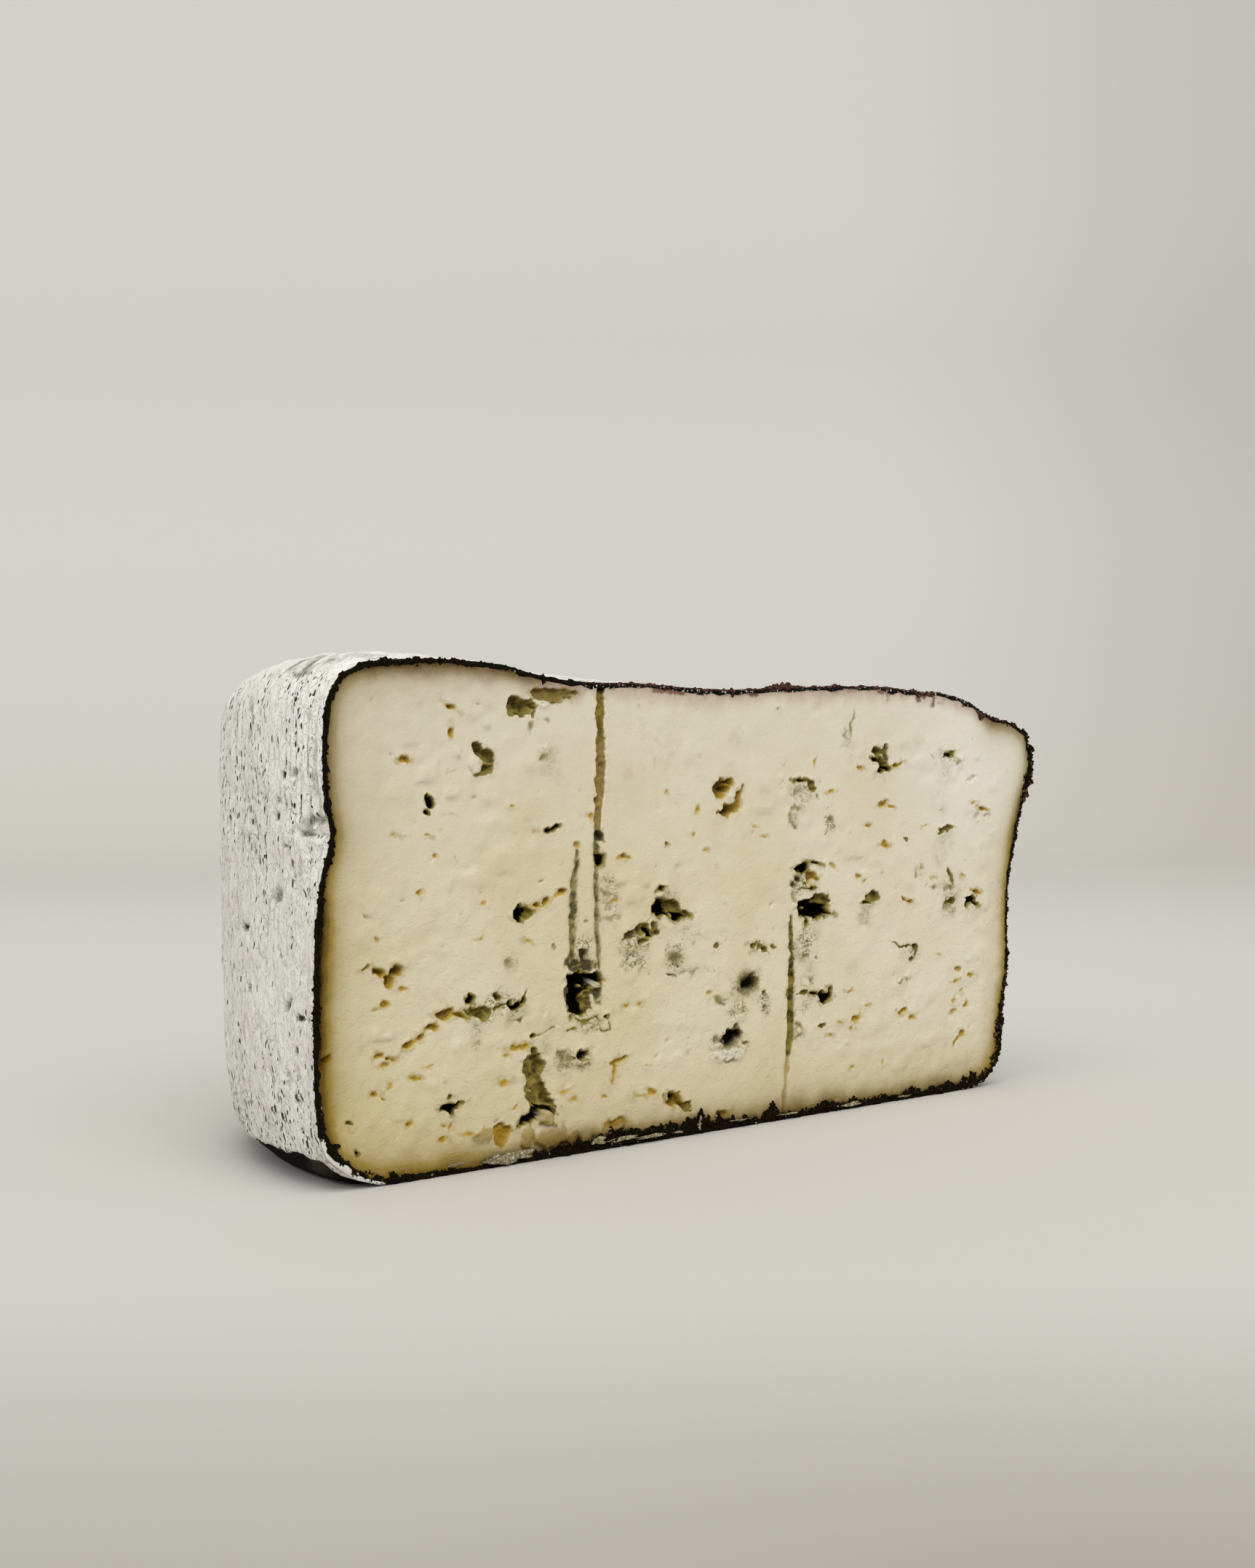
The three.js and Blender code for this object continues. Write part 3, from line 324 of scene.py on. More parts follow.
# Where mould shows as lace round lumps of curd: its oval and its strength.
LACE = [
    (-39, 55.5, 7, 13, 0.5), (-46.5, 45, 7, 7, 0.7), (-44.5, 28.5, 13, 6, 0.6),
    (-70.5, 34, 19, 8, 6, 0.65), (-52.5, 20.6, 8, 8, 0.7), (-46.8, 21, 8, 6, 0.6),
    (-61, 20, 9, 14, 0.35), (-31, 45, 13, 9, 20, 0.55), (-31, 41, 12, 5, 12, 0.6),
    (-18, 40.5, 9, 7, 0.7), (6.5, 33, 13, 10, 0.6), (3, 27.5, 9, 4, 0.55), (12, 29, 5, 8, 0.7),
    (1, 20, 14, 11, 0.75), (-3, 30.5, 7, 3, 12, 0.5), (10.5, 42, 12, 4, 0.55), (28, 42, 12, 11, 0.6),
    (24.5, 21, 6, 6, 0.6), (27, 57, 11, 12, 0.65), (31, 50, 15, 9, 0.5), (27, 79, 12, 8, 0.55),
    (23.5, 73, 6, 8, 0.5), (37, 71, 5, 7, 0.7), (32, 29, 15, 6, 0.5), (58, 87, 9, 9, 0.35),
    (87, 88, 10, 8, 0.5), (84, 84, 9, 5, 0.3), (44, 94, 6, 9, 0.4), (53, 51.5, 9, 8, 0.6),
    (73.5, 59, 7, 5, 0.4), (86.5, 50, 11, 9, 0.6), (86, 56, 9, 7, 0.4), (96, 49.5, 9, 6, 0.35),
    (69, 38, 11, 6, 0.4), (85, 68.5, 9, 4, 0.35), (67, 30.5, 8, 4, 0.35), (-21, 54.5, 12, 8, 0.5),
    (-68.6, 42.2, 6, 6, 0.5), (-77.6, 28, 5, 8, 0.45), (-58, 86, 8, 9, 0.35), (-75, 85, 7, 8, 0.3),
    (-85, 14, 7, 6, 0.3), (28.5, 33, 9, 8, 0.4), (27, 26.5, 7, 4, 0.45), (-13, 46.5, 16, 5, 4, 0.3),
    (-12, 38, 16, 3, 0.35), (50, 47.6, 8, 5, 0.35), (95, 31, 10, 12, 0.15),
]
# A soft grey shadow of mould under the surface: its oval and its strength.
SHADOWS_OF_MOULD = [
    (-57.5, 86, 9, 10, 0.6), (-62.5, 82.6, 3, 4, 0.3), (-67, 31.5, 12, 6, 0.6), (-78, 29, 5, 9, 0.45),
    (86, 86, 11, 7, 0.45), (82, 76, 9, 8, 0.22), (84, 66, 9, 6, 0.35), (82, 62, 6, 6, 0.4),
    (43.5, 93.6, 5, 7, 0.3), (-52.5, 20.5, 7, 8, 0.5), (-58, 24, 6, 5, 0.4), (-54, 28, 9, 5, 0.25),
    (87, 52, 12, 12, 0.75), (6.5, 33.5, 11, 9, 0.7), (1, 20.5, 12, 9, 0.5), (-1, 30, 8, 4, 0.4),
    (27, 58, 10, 13, 0.6), (31, 52, 11, 6, 0.5), (-46, 43, 11, 10, 0.35), (-20, 50, 14, 11, 0.2),
    (-9, 46, 8, 8, 0.2), (28, 41, 12, 12, 0.5), (-18, 40, 9, 7, 0.4), (25, 77, 9, 10, 0.4),
    (52, 49.5, 10, 9, 0.45), (37.4, 71.6, 4, 5, 0.4), (44, 35, 10, 5, 0.2), (96, 46.5, 9, 6, 0.2),
    (-40, 54, 6, 14, 0.3), (-42.8, 60, 3.4, 24, 0.3), (-49.9, 52, 3.2, 26, 0.3),
    (22.3, 32, 4.2, 34, 0.35), (-75.5, 85, 7, 6, 0.2), (58.5, 82.6, 3, 3, 0.3), (-60, 66, 3, 6, 0.12),
    (92.6, 92.6, 2, 5, 0.3), (12, 14.6, 4, 5, 0.2), (-84.6, 12, 4, 6, 0.25), (25, 20.6, 6, 6, 0.35),
    (28, 27, 9, 4, 0.2),
]
# A soft warm stain: its oval and its strength.
WARM_STAINS = [
    (2.4, 92, 5, 5, 0.4), (6.6, 90.6, 4, 2, 0.2), (-33.6, 83, 6, 4, 0.3), (-28.6, 84, 2, 3, 0.3),
    (74, 92.4, 7, 4, 0.3), (12.4, 78.6, 3, 5, 0.2), (17.4, 60.4, 3, 3, 0.25), (-40, 15, 8, 8, 0.3),
    (-72, 15, 10, 5, 0.2), (-100, 27, 12, 8, 0.2), (-88, 35, 16, 8, 0.2), (100, 74, 8, 6, 0.25),
    (90, 27, 9, 14, 0.2), (43, 21, 12, 4, 0.3), (-60, 54, 12, 5, 0.25), (0, 84, 7, 4, 0.3),
]
# A lump of pale curd left standing: its oval and how far it stands out.
LUMPS = [
    (-58, 8.8, 3.2, 3, 1.5), (-56.4, 5, 8.4, 4.2, 6, 2.2), (-63.4, 5.4, 3.6, 4.2, 1),
    (-50.6, 3.6, 4, 2.6, 0.8), (-22.8, 55.2, 2.4, 1.5, -20, 2.2), (-33.6, 44.2, 3.8, 3, 0.5),
    (-40.4, 27.4, 2.8, 1.8, 0.5), (-48.4, 19.8, 2.2, 0.8, -10, 0.7), (-46.2, 20.4, 1.4, 1, 30, 0.9),
    (-43.2, 36.8, 1.3, 1.1, 2), (-50.6, 39.8, 2.4, 0.9, 0.6), (26.6, 80.2, 4, 1.8, 0.5),
    (55.4, 85.4, 2, 1.6, 0.5), (1, 77.4, 1.8, 1.6, 0.6), (30.8, 57, 3.4, 1.2, 0.4),
    (-75.6, 7, 4.6, 2.2, 0.5), (-49, 43.4, 0.9, 1.4, 0.5), (-59, 97.6, 4.6, 1.2, 4, 0.35),
    (-77.9, 84.2, 3.2, 3.4, 0.5), (-97.4, 44.6, 4, 1.8, 0.3), (24.6, 20.8, 1.5, 1.3, 0.4),
    (-30.4, 46.4, 1.1, 1, 0.9), (-20.8, 48.6, 5, 1.2, -14, 0.3), (31, 46.6, 4, 0.8, 0.3),
]
WHITE_FLUFF = [(-0.6, 17.3, 9.2, 2.4, 0.5), (-117.4, 23.8, 0.9, 3, 0.4)]
# The torn recess at the foot: how deep, and its oval.
BROWN_RECESS = (1.8, (-70.2, 6.4, 5.6, 4.4, 10))
# Purple-brown marks of the rind's pigment under the top edge.
PURPLE_MARKS = [
    (-19.5, 102, 9, 1.5, 0.8), (-26, 103, 3.2, 1, 0.7), (-34.5, 102.9, 3.4, 1.1, 1),
    (-8, 102.5, 13, 0.9, 0.7), (8, 102.5, 4.4, 1, 1), (30, 104.1, 14, 0.7, 2, 0.6),
    (55, 105, 14, 0.9, -2, 0.8), (60, 103.8, 1.2, 2.2, 10, 0.5), (66, 104.2, 1.2, 2, 0.5),
    (73, 103.6, 2.4, 1.9, 1), (76.5, 104.5, 6.4, 1, 1), (79.4, 102.3, 1.6, 3.2, -14, 0.9),
    (80.4, 99.6, 0.9, 1.5, 0.4), (82.5, 103, 4, 0.9, 12, 0.5), (84, 103.1, 0.8, 1.7, 0.5),
    (93.5, 102.4, 1.6, 0.9, 0.7), (98, 102, 2.2, 0.9, 0.9), (101.2, 100.5, 2.8, 1.9, 1),
    (105, 99.6, 5, 0.6, -8, 0.5), (-52, 102.4, 6, 0.7, 2, 0.5), (47, 104.6, 5, 0.8, 0.5),
]
# Where the crust swells along the top edge: x, half its length and how much wider it is, with a
# number below 0 where it swells outwards.
CRUST_SWELLS = [
    (19, 4.0, -1.6), (39, 2.4, -0.9), (73, 2.0, 0.9), (77, 3.2, 0.7), (101, 1.8, 1.5), (-20, 5, 0.7),
    (-34.5, 2, 0.5), (8, 2.2, 0.5), (-29, 1.4, 0.5), (1, 0.7, 1.6), (57, 6, 0.4), (-58.8, 0.5, 1.2),
]
EYE_STRENGTHS = (0.6, 0.8, 1.0)  # in turn down the list of eyes
PALE_EYE_STRENGTH = 0.3
TICKS = 420  # how many small nicks the knife left
TICK_SEED = 71
# A pale flake of bloom lying against the foot of the cut: x, z, length and height.
FOOT_FLAKES = [
    (-68.5, 1.9, 12.5, 2.6), (-43.2, 2.3, 3.4, 2), (-35.6, 1.9, 9, 1), (-27.6, 1.5, 10.5, 0.7),
    (-18, 1.4, 3.6, 0.6), (-11, 2.4, 1.6, 3), (3, 1.9, 6.5, 0.4), (44, 1.4, 8.5, 1), (66, 1.1, 5, 0.5),
    (-84, 2.2, 5, 0.8), (20, 1.5, 7, 0.4),
]

# A dent in the wall of the rind: (arc from the cut, height, width along, height of it, depth, painted
# shade in it).
RIND_DENTS = [
    (4, 72.8, 7.4, 4.4, 0.6, 0.75), (4.6, 70.2, 6.4, 1.6, 0.9, 0.8), (12, 68, 4, 1, 0.5, 0.9),
    (9, 82.6, 3, 2.2, 0.5, 0.9), (16.6, 57.4, 5, 4, 0.8, 0.7), (32.6, 50.6, 6, 2.2, 1, 1.05),
    (38, 49.6, 6, 1, 0.5, 0.5), (28.2, 52.2, 1.6, 2, 0.5, 0.6), (5.6, 34, 5, 1.7, 0.8, 1.05),
    (10.8, 36.4, 3.4, 2.4, 0.9, 1.05), (12.8, 37.8, 2.4, 1.2, 0.6, 0.7),
    (7.6, 27.6, 1.5, 1.8, 0.5, 0.9), (28.6, 67.2, 1.2, 3.6, 0.6, 1.1), (26.2, 64.6, 1.2, 2.6, 0.5, 1.1),
    (24.4, 62.4, 1.4, 1.8, 0.5, 0.7), (32, 69.2, 1, 3.4, 0.5, 1), (13.6, 81.8, 1, 1.8, 0.6, 1.1),
    (13, 77.6, 0.8, 3.4, 0.5, 1.1), (12.6, 72.4, 0.7, 4, 0.5, 1.1), (12.8, 66, 0.8, 1.6, 0.5, 1),
    (16.4, 73.4, 1.8, 2, 0.5, 1), (15.8, 76.8, 2.2, 1.6, 0.5, 0.7), (12.8, 88.6, 1, 1.4, 0.5, 1),
    (50, 93.6, 1.4, 2.4, 0.6, 1.1), (44.2, 78.6, 1, 0.9, 0.4, 0.9), (55, 77, 1.4, 2.8, 0.4, 0.8),
    (54.6, 73, 1.4, 2.2, 0.5, 0.8), (38, 81.4, 1.2, 1.8, 0.4, 0.8), (46.6, 71.6, 1.6, 3.6, 0.5, 0.7),
    (28.6, 38.6, 2, 1.8, 0.5, 0.8), (31, 37.8, 2.2, 1.4, 0.4, 0.7), (41.4, 53, 2.4, 1.4, 0.5, 0.6),
    (46, 51.4, 2, 1.2, 0.4, 0.7), (26.6, 57, 3, 1.4, 0.4, 0.5), (9, 49.2, 2.6, 1.6, 0.4, 0.4),
    (12.4, 44, 3.4, 1.2, 0.4, 0.4), (24.4, 17, 2.4, 1.8, 0.5, 0.5), (8.2, 17.2, 3.4, 2, 0.5, 0.4),
    (11.4, 22.8, 1.8, 2.4, 0.4, 0.6), (22.4, 23.4, 1.6, 1.8, 0.4, 0.7), (4.4, 57.8, 3, 2.4, 0.4, 0.4),
    (34.4, 43.6, 1.2, 4.4, 0.4, 0.5), (39, 39.4, 1.8, 1.2, 0.4, 0.8), (42.6, 41.2, 1.8, 1.2, 0.4, 0.7),
    (17, 29, 2, 1.4, 0.4, 0.5),
]
GREY_SHOULDER = (11.0, 103.8, 20.0, 5.0)  # a worn grey patch on the shoulder: arc, height, sizes


# ---- smooth random values, and lines through points ----

class Noise:
    """Random values of about -1 to 1 that change smoothly in space, the same on every run."""

    SIDE = 48
    GAIN = 1.6  # brings the blended values back to about -1 to 1

    def __init__(self, seed):
        self.grid = np.random.default_rng(seed).uniform(-1, 1, (self.SIDE,) * 3)

    def __call__(self, x, y, z=0.0):
        x, y, z = np.broadcast_arrays(x, y, z)
        cells = [np.floor(v).astype(int) for v in (x, y, z)]
        shares = [v - c for v, c in zip((x, y, z), cells)]
        shares = [s * s * (3 - 2 * s) for s in shares]
        total = 0.0
        for corner in range(8):
            steps = [(corner >> k) & 1 for k in range(3)]
            weight = 1.0
            for share, step in zip(shares, steps):
                weight = weight * (share if step else 1 - share)
            spots = [(c + s) % self.SIDE for c, s in zip(cells, steps)]
            total = total + weight * self.grid[spots[0], spots[1], spots[2]]
        return total * self.GAIN


ROUGH = Noise(11)
WARP = Noise(23)
CURVE_STEPS = 24  # between two given points of a smooth line
FINE_STEPS = 240  # along a part of an outline, before its points are spaced out


def smooth(low, high, value):
    share = np.clip((value - low) / (high - low), 0, 1)
    return share * share * (3 - 2 * share)


def even(line, steps, crowding=1):
    """A line's points, moved so that they are evenly spaced along it or crowd towards its end."""
    gone = np.concatenate([[0], np.cumsum(np.linalg.norm(np.diff(line, axis=0), axis=1))])
    wanted = gone[-1] * (1 - np.linspace(1, 0, steps + 1) ** crowding)
    return np.stack([np.interp(wanted, gone, line[:, k]) for k in range(line.shape[1])], 1)


def smooth_run(points, steps):
    """Evenly spaced points on a smooth line through the given ones."""
    p = np.array(points, float)
    p = np.vstack([2 * p[0] - p[1], p, 2 * p[-1] - p[-2]])
    share = np.linspace(0, 1, CURVE_STEPS, endpoint=False)[:, None]
    parts = []
    for a, b, c, d in zip(p, p[1:], p[2:], p[3:]):
        k1 = np.linalg.norm(b - a) ** 0.5
        k2 = k1 + np.linalg.norm(c - b) ** 0.5
        k3 = k2 + np.linalg.norm(d - c) ** 0.5
        u = k1 + (k2 - k1) * share
        ab = a + (b - a) * u / k1
        bc = b + (c - b) * (u - k1) / (k2 - k1)
        cd = c + (d - c) * (u - k2) / (k3 - k2)
        abc = ab + (bc - ab) * u / k2
        bcd = bc + (cd - bc) * (u - k1) / (k3 - k1)
        parts.append(abc + (bcd - abc) * (u - k1) / (k2 - k1))
    return even(np.vstack(parts + [p[-2:-1]]), steps)


def half_outline(outline, base_steps, side_steps, top_steps, crowding=1):
    """The half outline as points on its base, side and top, evenly spaced on each."""
    base = even(smooth_run(outline["base"], FINE_STEPS), base_steps, crowding)
    side = smooth_run(outline["side"], side_steps)
    top = smooth_run(outline["top"], top_steps)
    whole = np.vstack([base, side[1:], top[1:]])
    whole[:, 1] = np.maximum(whole[:, 1], 0)
    return whole


def tucked(outline, amount):
    """A half outline moved inwards, with its two ends kept on the wheel's axis."""
    along = np.gradient(outline, axis=0)
    along[0] = along[-1] * 0 + [1, 0]
    along[-1] = [-1, 0]
    along = along / np.linalg.norm(along, axis=1, keepdims=True)
    inwards = np.stack([-along[:, 1], along[:, 0]], 1)
    moved = outline + inwards * amount
    moved[[0, -1], 0] = 0
    return moved


def swell(x, y, z):
    total = 0.0
    for share, along_x, along_y, along_z, start in SWELL_WAVES:
        total = total + share * np.sin(along_x * x + along_y * y + along_z * z + start)
    return total


def drum(angles, cut, behind, right):
    """The drum's surface: for each angle round the axis, the points of half an outline."""
    turn = np.asarray(angles, float)[:, None]
    share = (1 - np.cos(turn)) / 2
    inside = smooth(0, CUT_FADE, cut[:, 0] * np.sin(turn))[..., None]
    left = cut + (behind - cut) * inside
    both = left * (1 - share[..., None]) + right * share[..., None]
    reach = both[..., 0] * (1 - BACK_FLATTENING * np.sin(turn))
    height = both[..., 1]
    x = -reach * np.cos(turn)
    y = reach * np.abs(np.sin(turn))
    y[np.isclose(np.sin(turn[:, 0]), 0, atol=1e-9)] = 0
    fade = smooth(0, SWELL_FADES_IN, y) * smooth(*SWELL_HEIGHTS, height)
    push = RIND_SWELL * fade * swell(x, y, height)
    out = 1 + push / np.maximum(reach, 1e-6)
    return np.stack([x * out, y * out, np.maximum(height + push * SWELL_UP_SHARE, 0)], -1)


# ---- meshes ----

MERGED_WITHIN = 1e-5  # in the units of the points: millimetres for the paste, metres for the crust


def to_frame(points):
    """Points of the wheel's own frame, in the row's frame and in metres."""
    return (np.asarray(points, float) + [AXIS_X, FACE_Y, 0]) * MM


def stood_up(line, side=1, back=0.0):
    """Points of (across, height) in the plane of the cut, or so far behind it, as (x, y, z)."""
    across = line[..., 0]
    return np.stack([across * side, across * 0 + back, line[..., 1]], -1)


def grid_faces(numbers, close_rows=False, close_columns=False):
    """Quads between neighbouring rows and columns of vertex numbers."""
    if close_rows:
        numbers = np.vstack([numbers, numbers[:1]])
    if close_columns:
        numbers = np.hstack([numbers, numbers[:, :1]])
    a, b = numbers[:-1, :-1], numbers[:-1, 1:]
    d, c = numbers[1:, :-1], numbers[1:, 1:]
    return np.stack([a, b, c, d], -1).reshape(-1, 4)


def added(name, data):
    """A new object in the scene."""
    made = bpy.data.objects.new(name, data)
    bpy.context.scene.collection.objects.link(made)
    return made


def mesh_object(name, bm, material):
    mesh = bpy.data.meshes.new(name)
    bm.to_mesh(mesh)
    bm.free()
    mesh.shade_smooth()
    mesh.materials.append(material)
    return added(name, mesh)


def filled_bmesh(points, faces):
    """A closed bmesh from points and quads, with coinciding points merged and no flat faces."""
    bm = bmesh.new()
    corners = [bm.verts.new(p) for p in np.asarray(points).tolist()]
    for face in faces.tolist():
        if len(set(face)) == len(face):
            bm.faces.new([corners[k] for k in face])
    bmesh.ops.remove_doubles(bm, verts=bm.verts[:], dist=MERGED_WITHIN)
    return bm


def coordinates(bm):
    return np.array([v.co[:] for v in bm.verts])


def paint(made, name, values):
    """Stores one number, or one vector, for each vertex as an attribute."""
    values = np.asarray(values, np.float32)
    kind, field = ("FLOAT", "value") if values.ndim == 1 else ("FLOAT_VECTOR", "vector")
    attribute = made.data.attributes.new(name, kind, "POINT")
    attribute.data.foreach_set(field, values.ravel())


# ---- the face: its relief, and what lines it ----

def along_oval(x, z, oval):
    """How far along and up from an oval's middle each point lies, in the oval's own turn."""
    turn = math.radians(oval[4] if len(oval) > 4 else 0)
    c, s = math.cos(turn), math.sin(turn)
    dx, dz = x - oval[0], z - oval[1]
    return dx * c + dz * s, dz * c - dx * s


def oval_share(x, z, oval):
    """How far out of an oval's middle each point lies, as a share of the way to its edge."""
    across, up = along_oval(x, z, oval)
    return np.hypot(across * 2 / oval[2], up * 2 / oval[3])


def line_distance(x, z, points):
    """Distance to a line of (x, z, ...) points, and the place along it as a point number."""
    nearest = np.full(np.shape(x), 1e9)
    place = np.zeros(np.shape(x))
    for k, (start, end) in enumerate(zip(points, points[1:])):
        run = np.array(end[:2], float) - start[:2]
        share = ((x - start[0]) * run[0] + (z - start[1]) * run[1]) / (run @ run)
        share = np.clip(share, 0, 1)
        away = np.hypot(x - start[0] - share * run[0], z - start[1] - share * run[1])
        closer = away < nearest
        nearest = np.where(closer, away, nearest)
        place = np.where(closer, k + share, place)
    return nearest, place


class CutFace:
    """A fine map of the cut face: how deep each spot lies, in millimetres, and what lines it."""

    CELL = 0.2
    LEFT, FOOT = -126.0, -3.0
    COLUMNS, ROWS = 1266, 566
    LININGS = ("ochre", "olive", "mould", "black", "pale", "shadow", "stain", "tan", "brown",
               "purple", "lace")
    GROWN = 0.25  # how far the lining of a hole reaches past its drawn edge
    MARGIN = 2.5  # how far round a hole its marks may reach
    OVERHANGS = ((2, 0.25), (4, 0.35), (8, 0.5), (14, 0.6))  # cells up, and the slope that shades
    FULL_SHADE = 1.8  # the slope where the shade is full
    # How much finer the face is made where the edge of a lining runs.
    EDGE_DETAIL = {"black": 1.4, "olive": 1.2, "ochre": 1.2, "mould": 0.35, "tan": 0.2}

    def __init__(self):
        x = self.LEFT + self.CELL * np.arange(self.COLUMNS)
        z = self.FOOT + self.CELL * np.arange(self.ROWS)
        self.x, self.z = np.meshgrid(x, z)
        self.layer = {name: np.zeros(self.x.shape) for name in self.LININGS}
        x, z = self.x, self.z
        self.bent = [line + 0.5 * WARP(x / 2.1, z / 2.1, wide) + 0.16 * WARP(x / 0.8, z / 0.8, fine)
                     for line, wide, fine in ((x, 1.5, 4.5), (z, 9.5, 7.5))]
        self.ragged = ROUGH(x / 1.3, z / 1.3, 1.7) + 0.5 * ROUGH(x / 0.6, z / 0.6, 2.3)
        self.crag = ROUGH(x / 1.1, z / 1.1, 5.1)
        self.blotch = ROUGH(x / 1.7, z / 1.15, 14.2) + 0.6 * ROUGH(x / 0.8, z / 0.6, 15.2)
        self.patch = ROUGH(x / 3.4, z / 2.6, 16.4)
        self.depth = 0.13 * ROUGH(x / 15, z / 15, 3.1) + 0.08 * ROUGH(x / 5.5, z / 4, 7.7)
        self.depth += 0.03 * ROUGH(x / 1.6, z / 1.3, 5.5)
        torn = ROUGH(x / 17, z / 11, 18.3) + 0.5 * smooth(62, 30, z) - 0.3 * smooth(85, 95, z)
        torn = smooth(-0.25, 0.55, torn) * smooth(114, 104, np.abs(x)) * smooth(3, 8, z)
        x, z = self.bent
        self.depth += 0.17 * torn * np.tanh(6 * ROUGH(x / 4.6, z / 2.9, 19.7))
        self.depth += 0.09 * torn * np.tanh(6 * ROUGH(x / 2.2, z / 1.4, 20.9))

    def wavy(self, part):
        """The places of a part of the map, bent a little so that drawn edges wander."""
        return self.bent[0][part], self.bent[1][part]

    def window(self, points, margin):
        """The part of the map within a margin of some (x, z) points."""
        x = [p[0] for p in points]
        z = [p[1] for p in points]
        spans = ((z, self.FOOT), (x, self.LEFT))
        first = [int((min(v) - margin - start) / self.CELL) for v, start in spans]
        last = [int((max(v) + margin - start) / self.CELL) + 1 for v, start in spans]
        return tuple(slice(max(a, 0), max(b, 1)) for a, b in zip(first, last))

    def away(self, ovals):
        """A window round some ovals, and how far outside their joined ragged edge each cell lies."""
        margin = max(max(o[2], o[3]) for o in ovals) / 2 + self.MARGIN
        part = self.window(ovals, margin)
        nearest = np.full(self.x[part].shape, 1e9)
        for oval in ovals:
            small = min(oval[2], oval[3]) / 2
            share = oval_share(*self.wavy(part), oval)
            ragged = (0.1 + 0.2 * small) * self.ragged[part] - self.GROWN * min(1, small / 0.8)
            nearest = np.minimum(nearest, (share - 1) * small + ragged)
        return part, nearest

    def add(self, name, part, amount):
        self.layer[name][part] = np.maximum(self.layer[name][part], amount)

    def clear(self, part, amount, names):
        for name in names:
            self.layer[name][part] *= 1 - amount

    def dig(self, part, away, deep):
        soft = 0.22 + 0.06 * deep
        floor = 1 + 0.22 * self.crag[part]
        dug = deep * (1 - np.exp(-np.clip(-away, 0, None) / soft)) * floor
        lip = np.exp(-((away - 0.35) / 0.35) ** 2) * (0.5 + 0.5 * self.patch[part])
        self.depth[part] = np.maximum(self.depth[part], dug) - min(0.24, 0.1 * deep) * lip

    def tear(self, deep, lining, ovals):
        part, away = self.away(ovals)
        self.dig(part, away, deep)
        reach = 0.35 + 0.3 * min(3, *ovals[0][2:4])
        if lining == "black":
            self.add("olive", part, smooth(0.3, 0.0, away))
            self.add("black", part, smooth(0.1, -0.3, away))
            self.add("mould", part, 0.6 * smooth(reach, 0.0, away + 0.3 * reach * self.blotch[part]))
        elif lining == "olive":
            self.add("olive", part, smooth(0.25, -0.15, away))
            self.add("black", part, 0.4 * smooth(-0.4, -1.3, away) * smooth(0.4, 1.1, self.blotch[part]))
            self.add("mould", part, 0.22 * smooth(1.1, 0.2, away + 0.3 * self.blotch[part]))
        elif lining in ("ochre", "brown"):
            self.add(lining, part, smooth(0.2, -0.25, away) + 0.4 * smooth(-0.3, -1.2, away))
            self.add("tan", part, 0.5 * smooth(1.0, 0.0, away + 0.3 * self.blotch[part]))
        else:
            self.add("mould", part, smooth(0.6, -0.4, away + 0.3 * self.blotch[part]))

    def eye(self, oval, strength):
        """A small shallow hole, ochre inside and tan round it."""
        part, away = self.away([oval])
        self.dig(part, away, 0.2 + 0.55 * min(oval[2], oval[3]))
        self.add("ochre", part, strength * smooth(0.15, -0.2, away))
        self.add("tan", part, 0.55 * strength * smooth(0.8, 0.0, away + 0.25 * self.blotch[part]))

    def mould_hollow(self, deep, dark, oval):
        """A soft round hollow, grey with mould and darkest up and to the right."""
        part = self.window([oval], max(oval[2], oval[3]) / 2 + self.MARGIN)
        across, up = along_oval(*self.wavy(part), oval)
        share = oval_share(*self.wavy(part), oval) + 0.13 * self.blotch[part]
        core = share - 0.35 * across / oval[2] - 0.5 * up / oval[3]
        self.depth[part] += deep * smooth(1.15, 0.3, share)
        self.add("mould", part, (0.5 + 0.35 * dark) * smooth(1.35, 0.75, share))
        self.add("black", part, 1.15 * dark * smooth(1.05, 0.25, core))

    def stroke(self, lining, width, deep, points):
        part = self.window(points, 3)
        x, z = self.wavy(part)
        away, place = line_distance(x, z, points)
        last = len(points) - 1
        taper = smooth(-0.05, 0.5, place) * smooth(last + 0.05, last - 0.5, place)
        strength = np.clip(0.75 + 0.45 * self.patch[part], 0.25, 1) * (0.35 + 0.65 * taper)
        half = width / 2 * (0.7 + 0.5 * strength) * (1 + 0.25 * self.ragged[part])
        groove = np.clip(1 - away / half, 0, 1) ** 0.7
        self.depth[part] += deep * strength * groove
        self.depth[part] -= 0.25 * deep * np.exp(-((away - width * 0.9) / (width * 0.45)) ** 2) * taper
        on = smooth(half * 1.1, half * 0.4, away) * strength
        soft = smooth(half * 2.4, 0, away + 0.25 * self.blotch[part]) * strength
        if lining == "dark":
            self.add("olive", part, on)
            self.add("black", part, 0.75 * smooth(half * 0.8, 0, away) * strength)
            self.add("mould", part, 0.5 * soft)
        elif lining == "grey":
            self.add("mould", part, 0.75 * soft)
        elif lining == "ochre":
            self.add("ochre", part, on)
        else:
            self.add("tan", part, 0.35 * on)

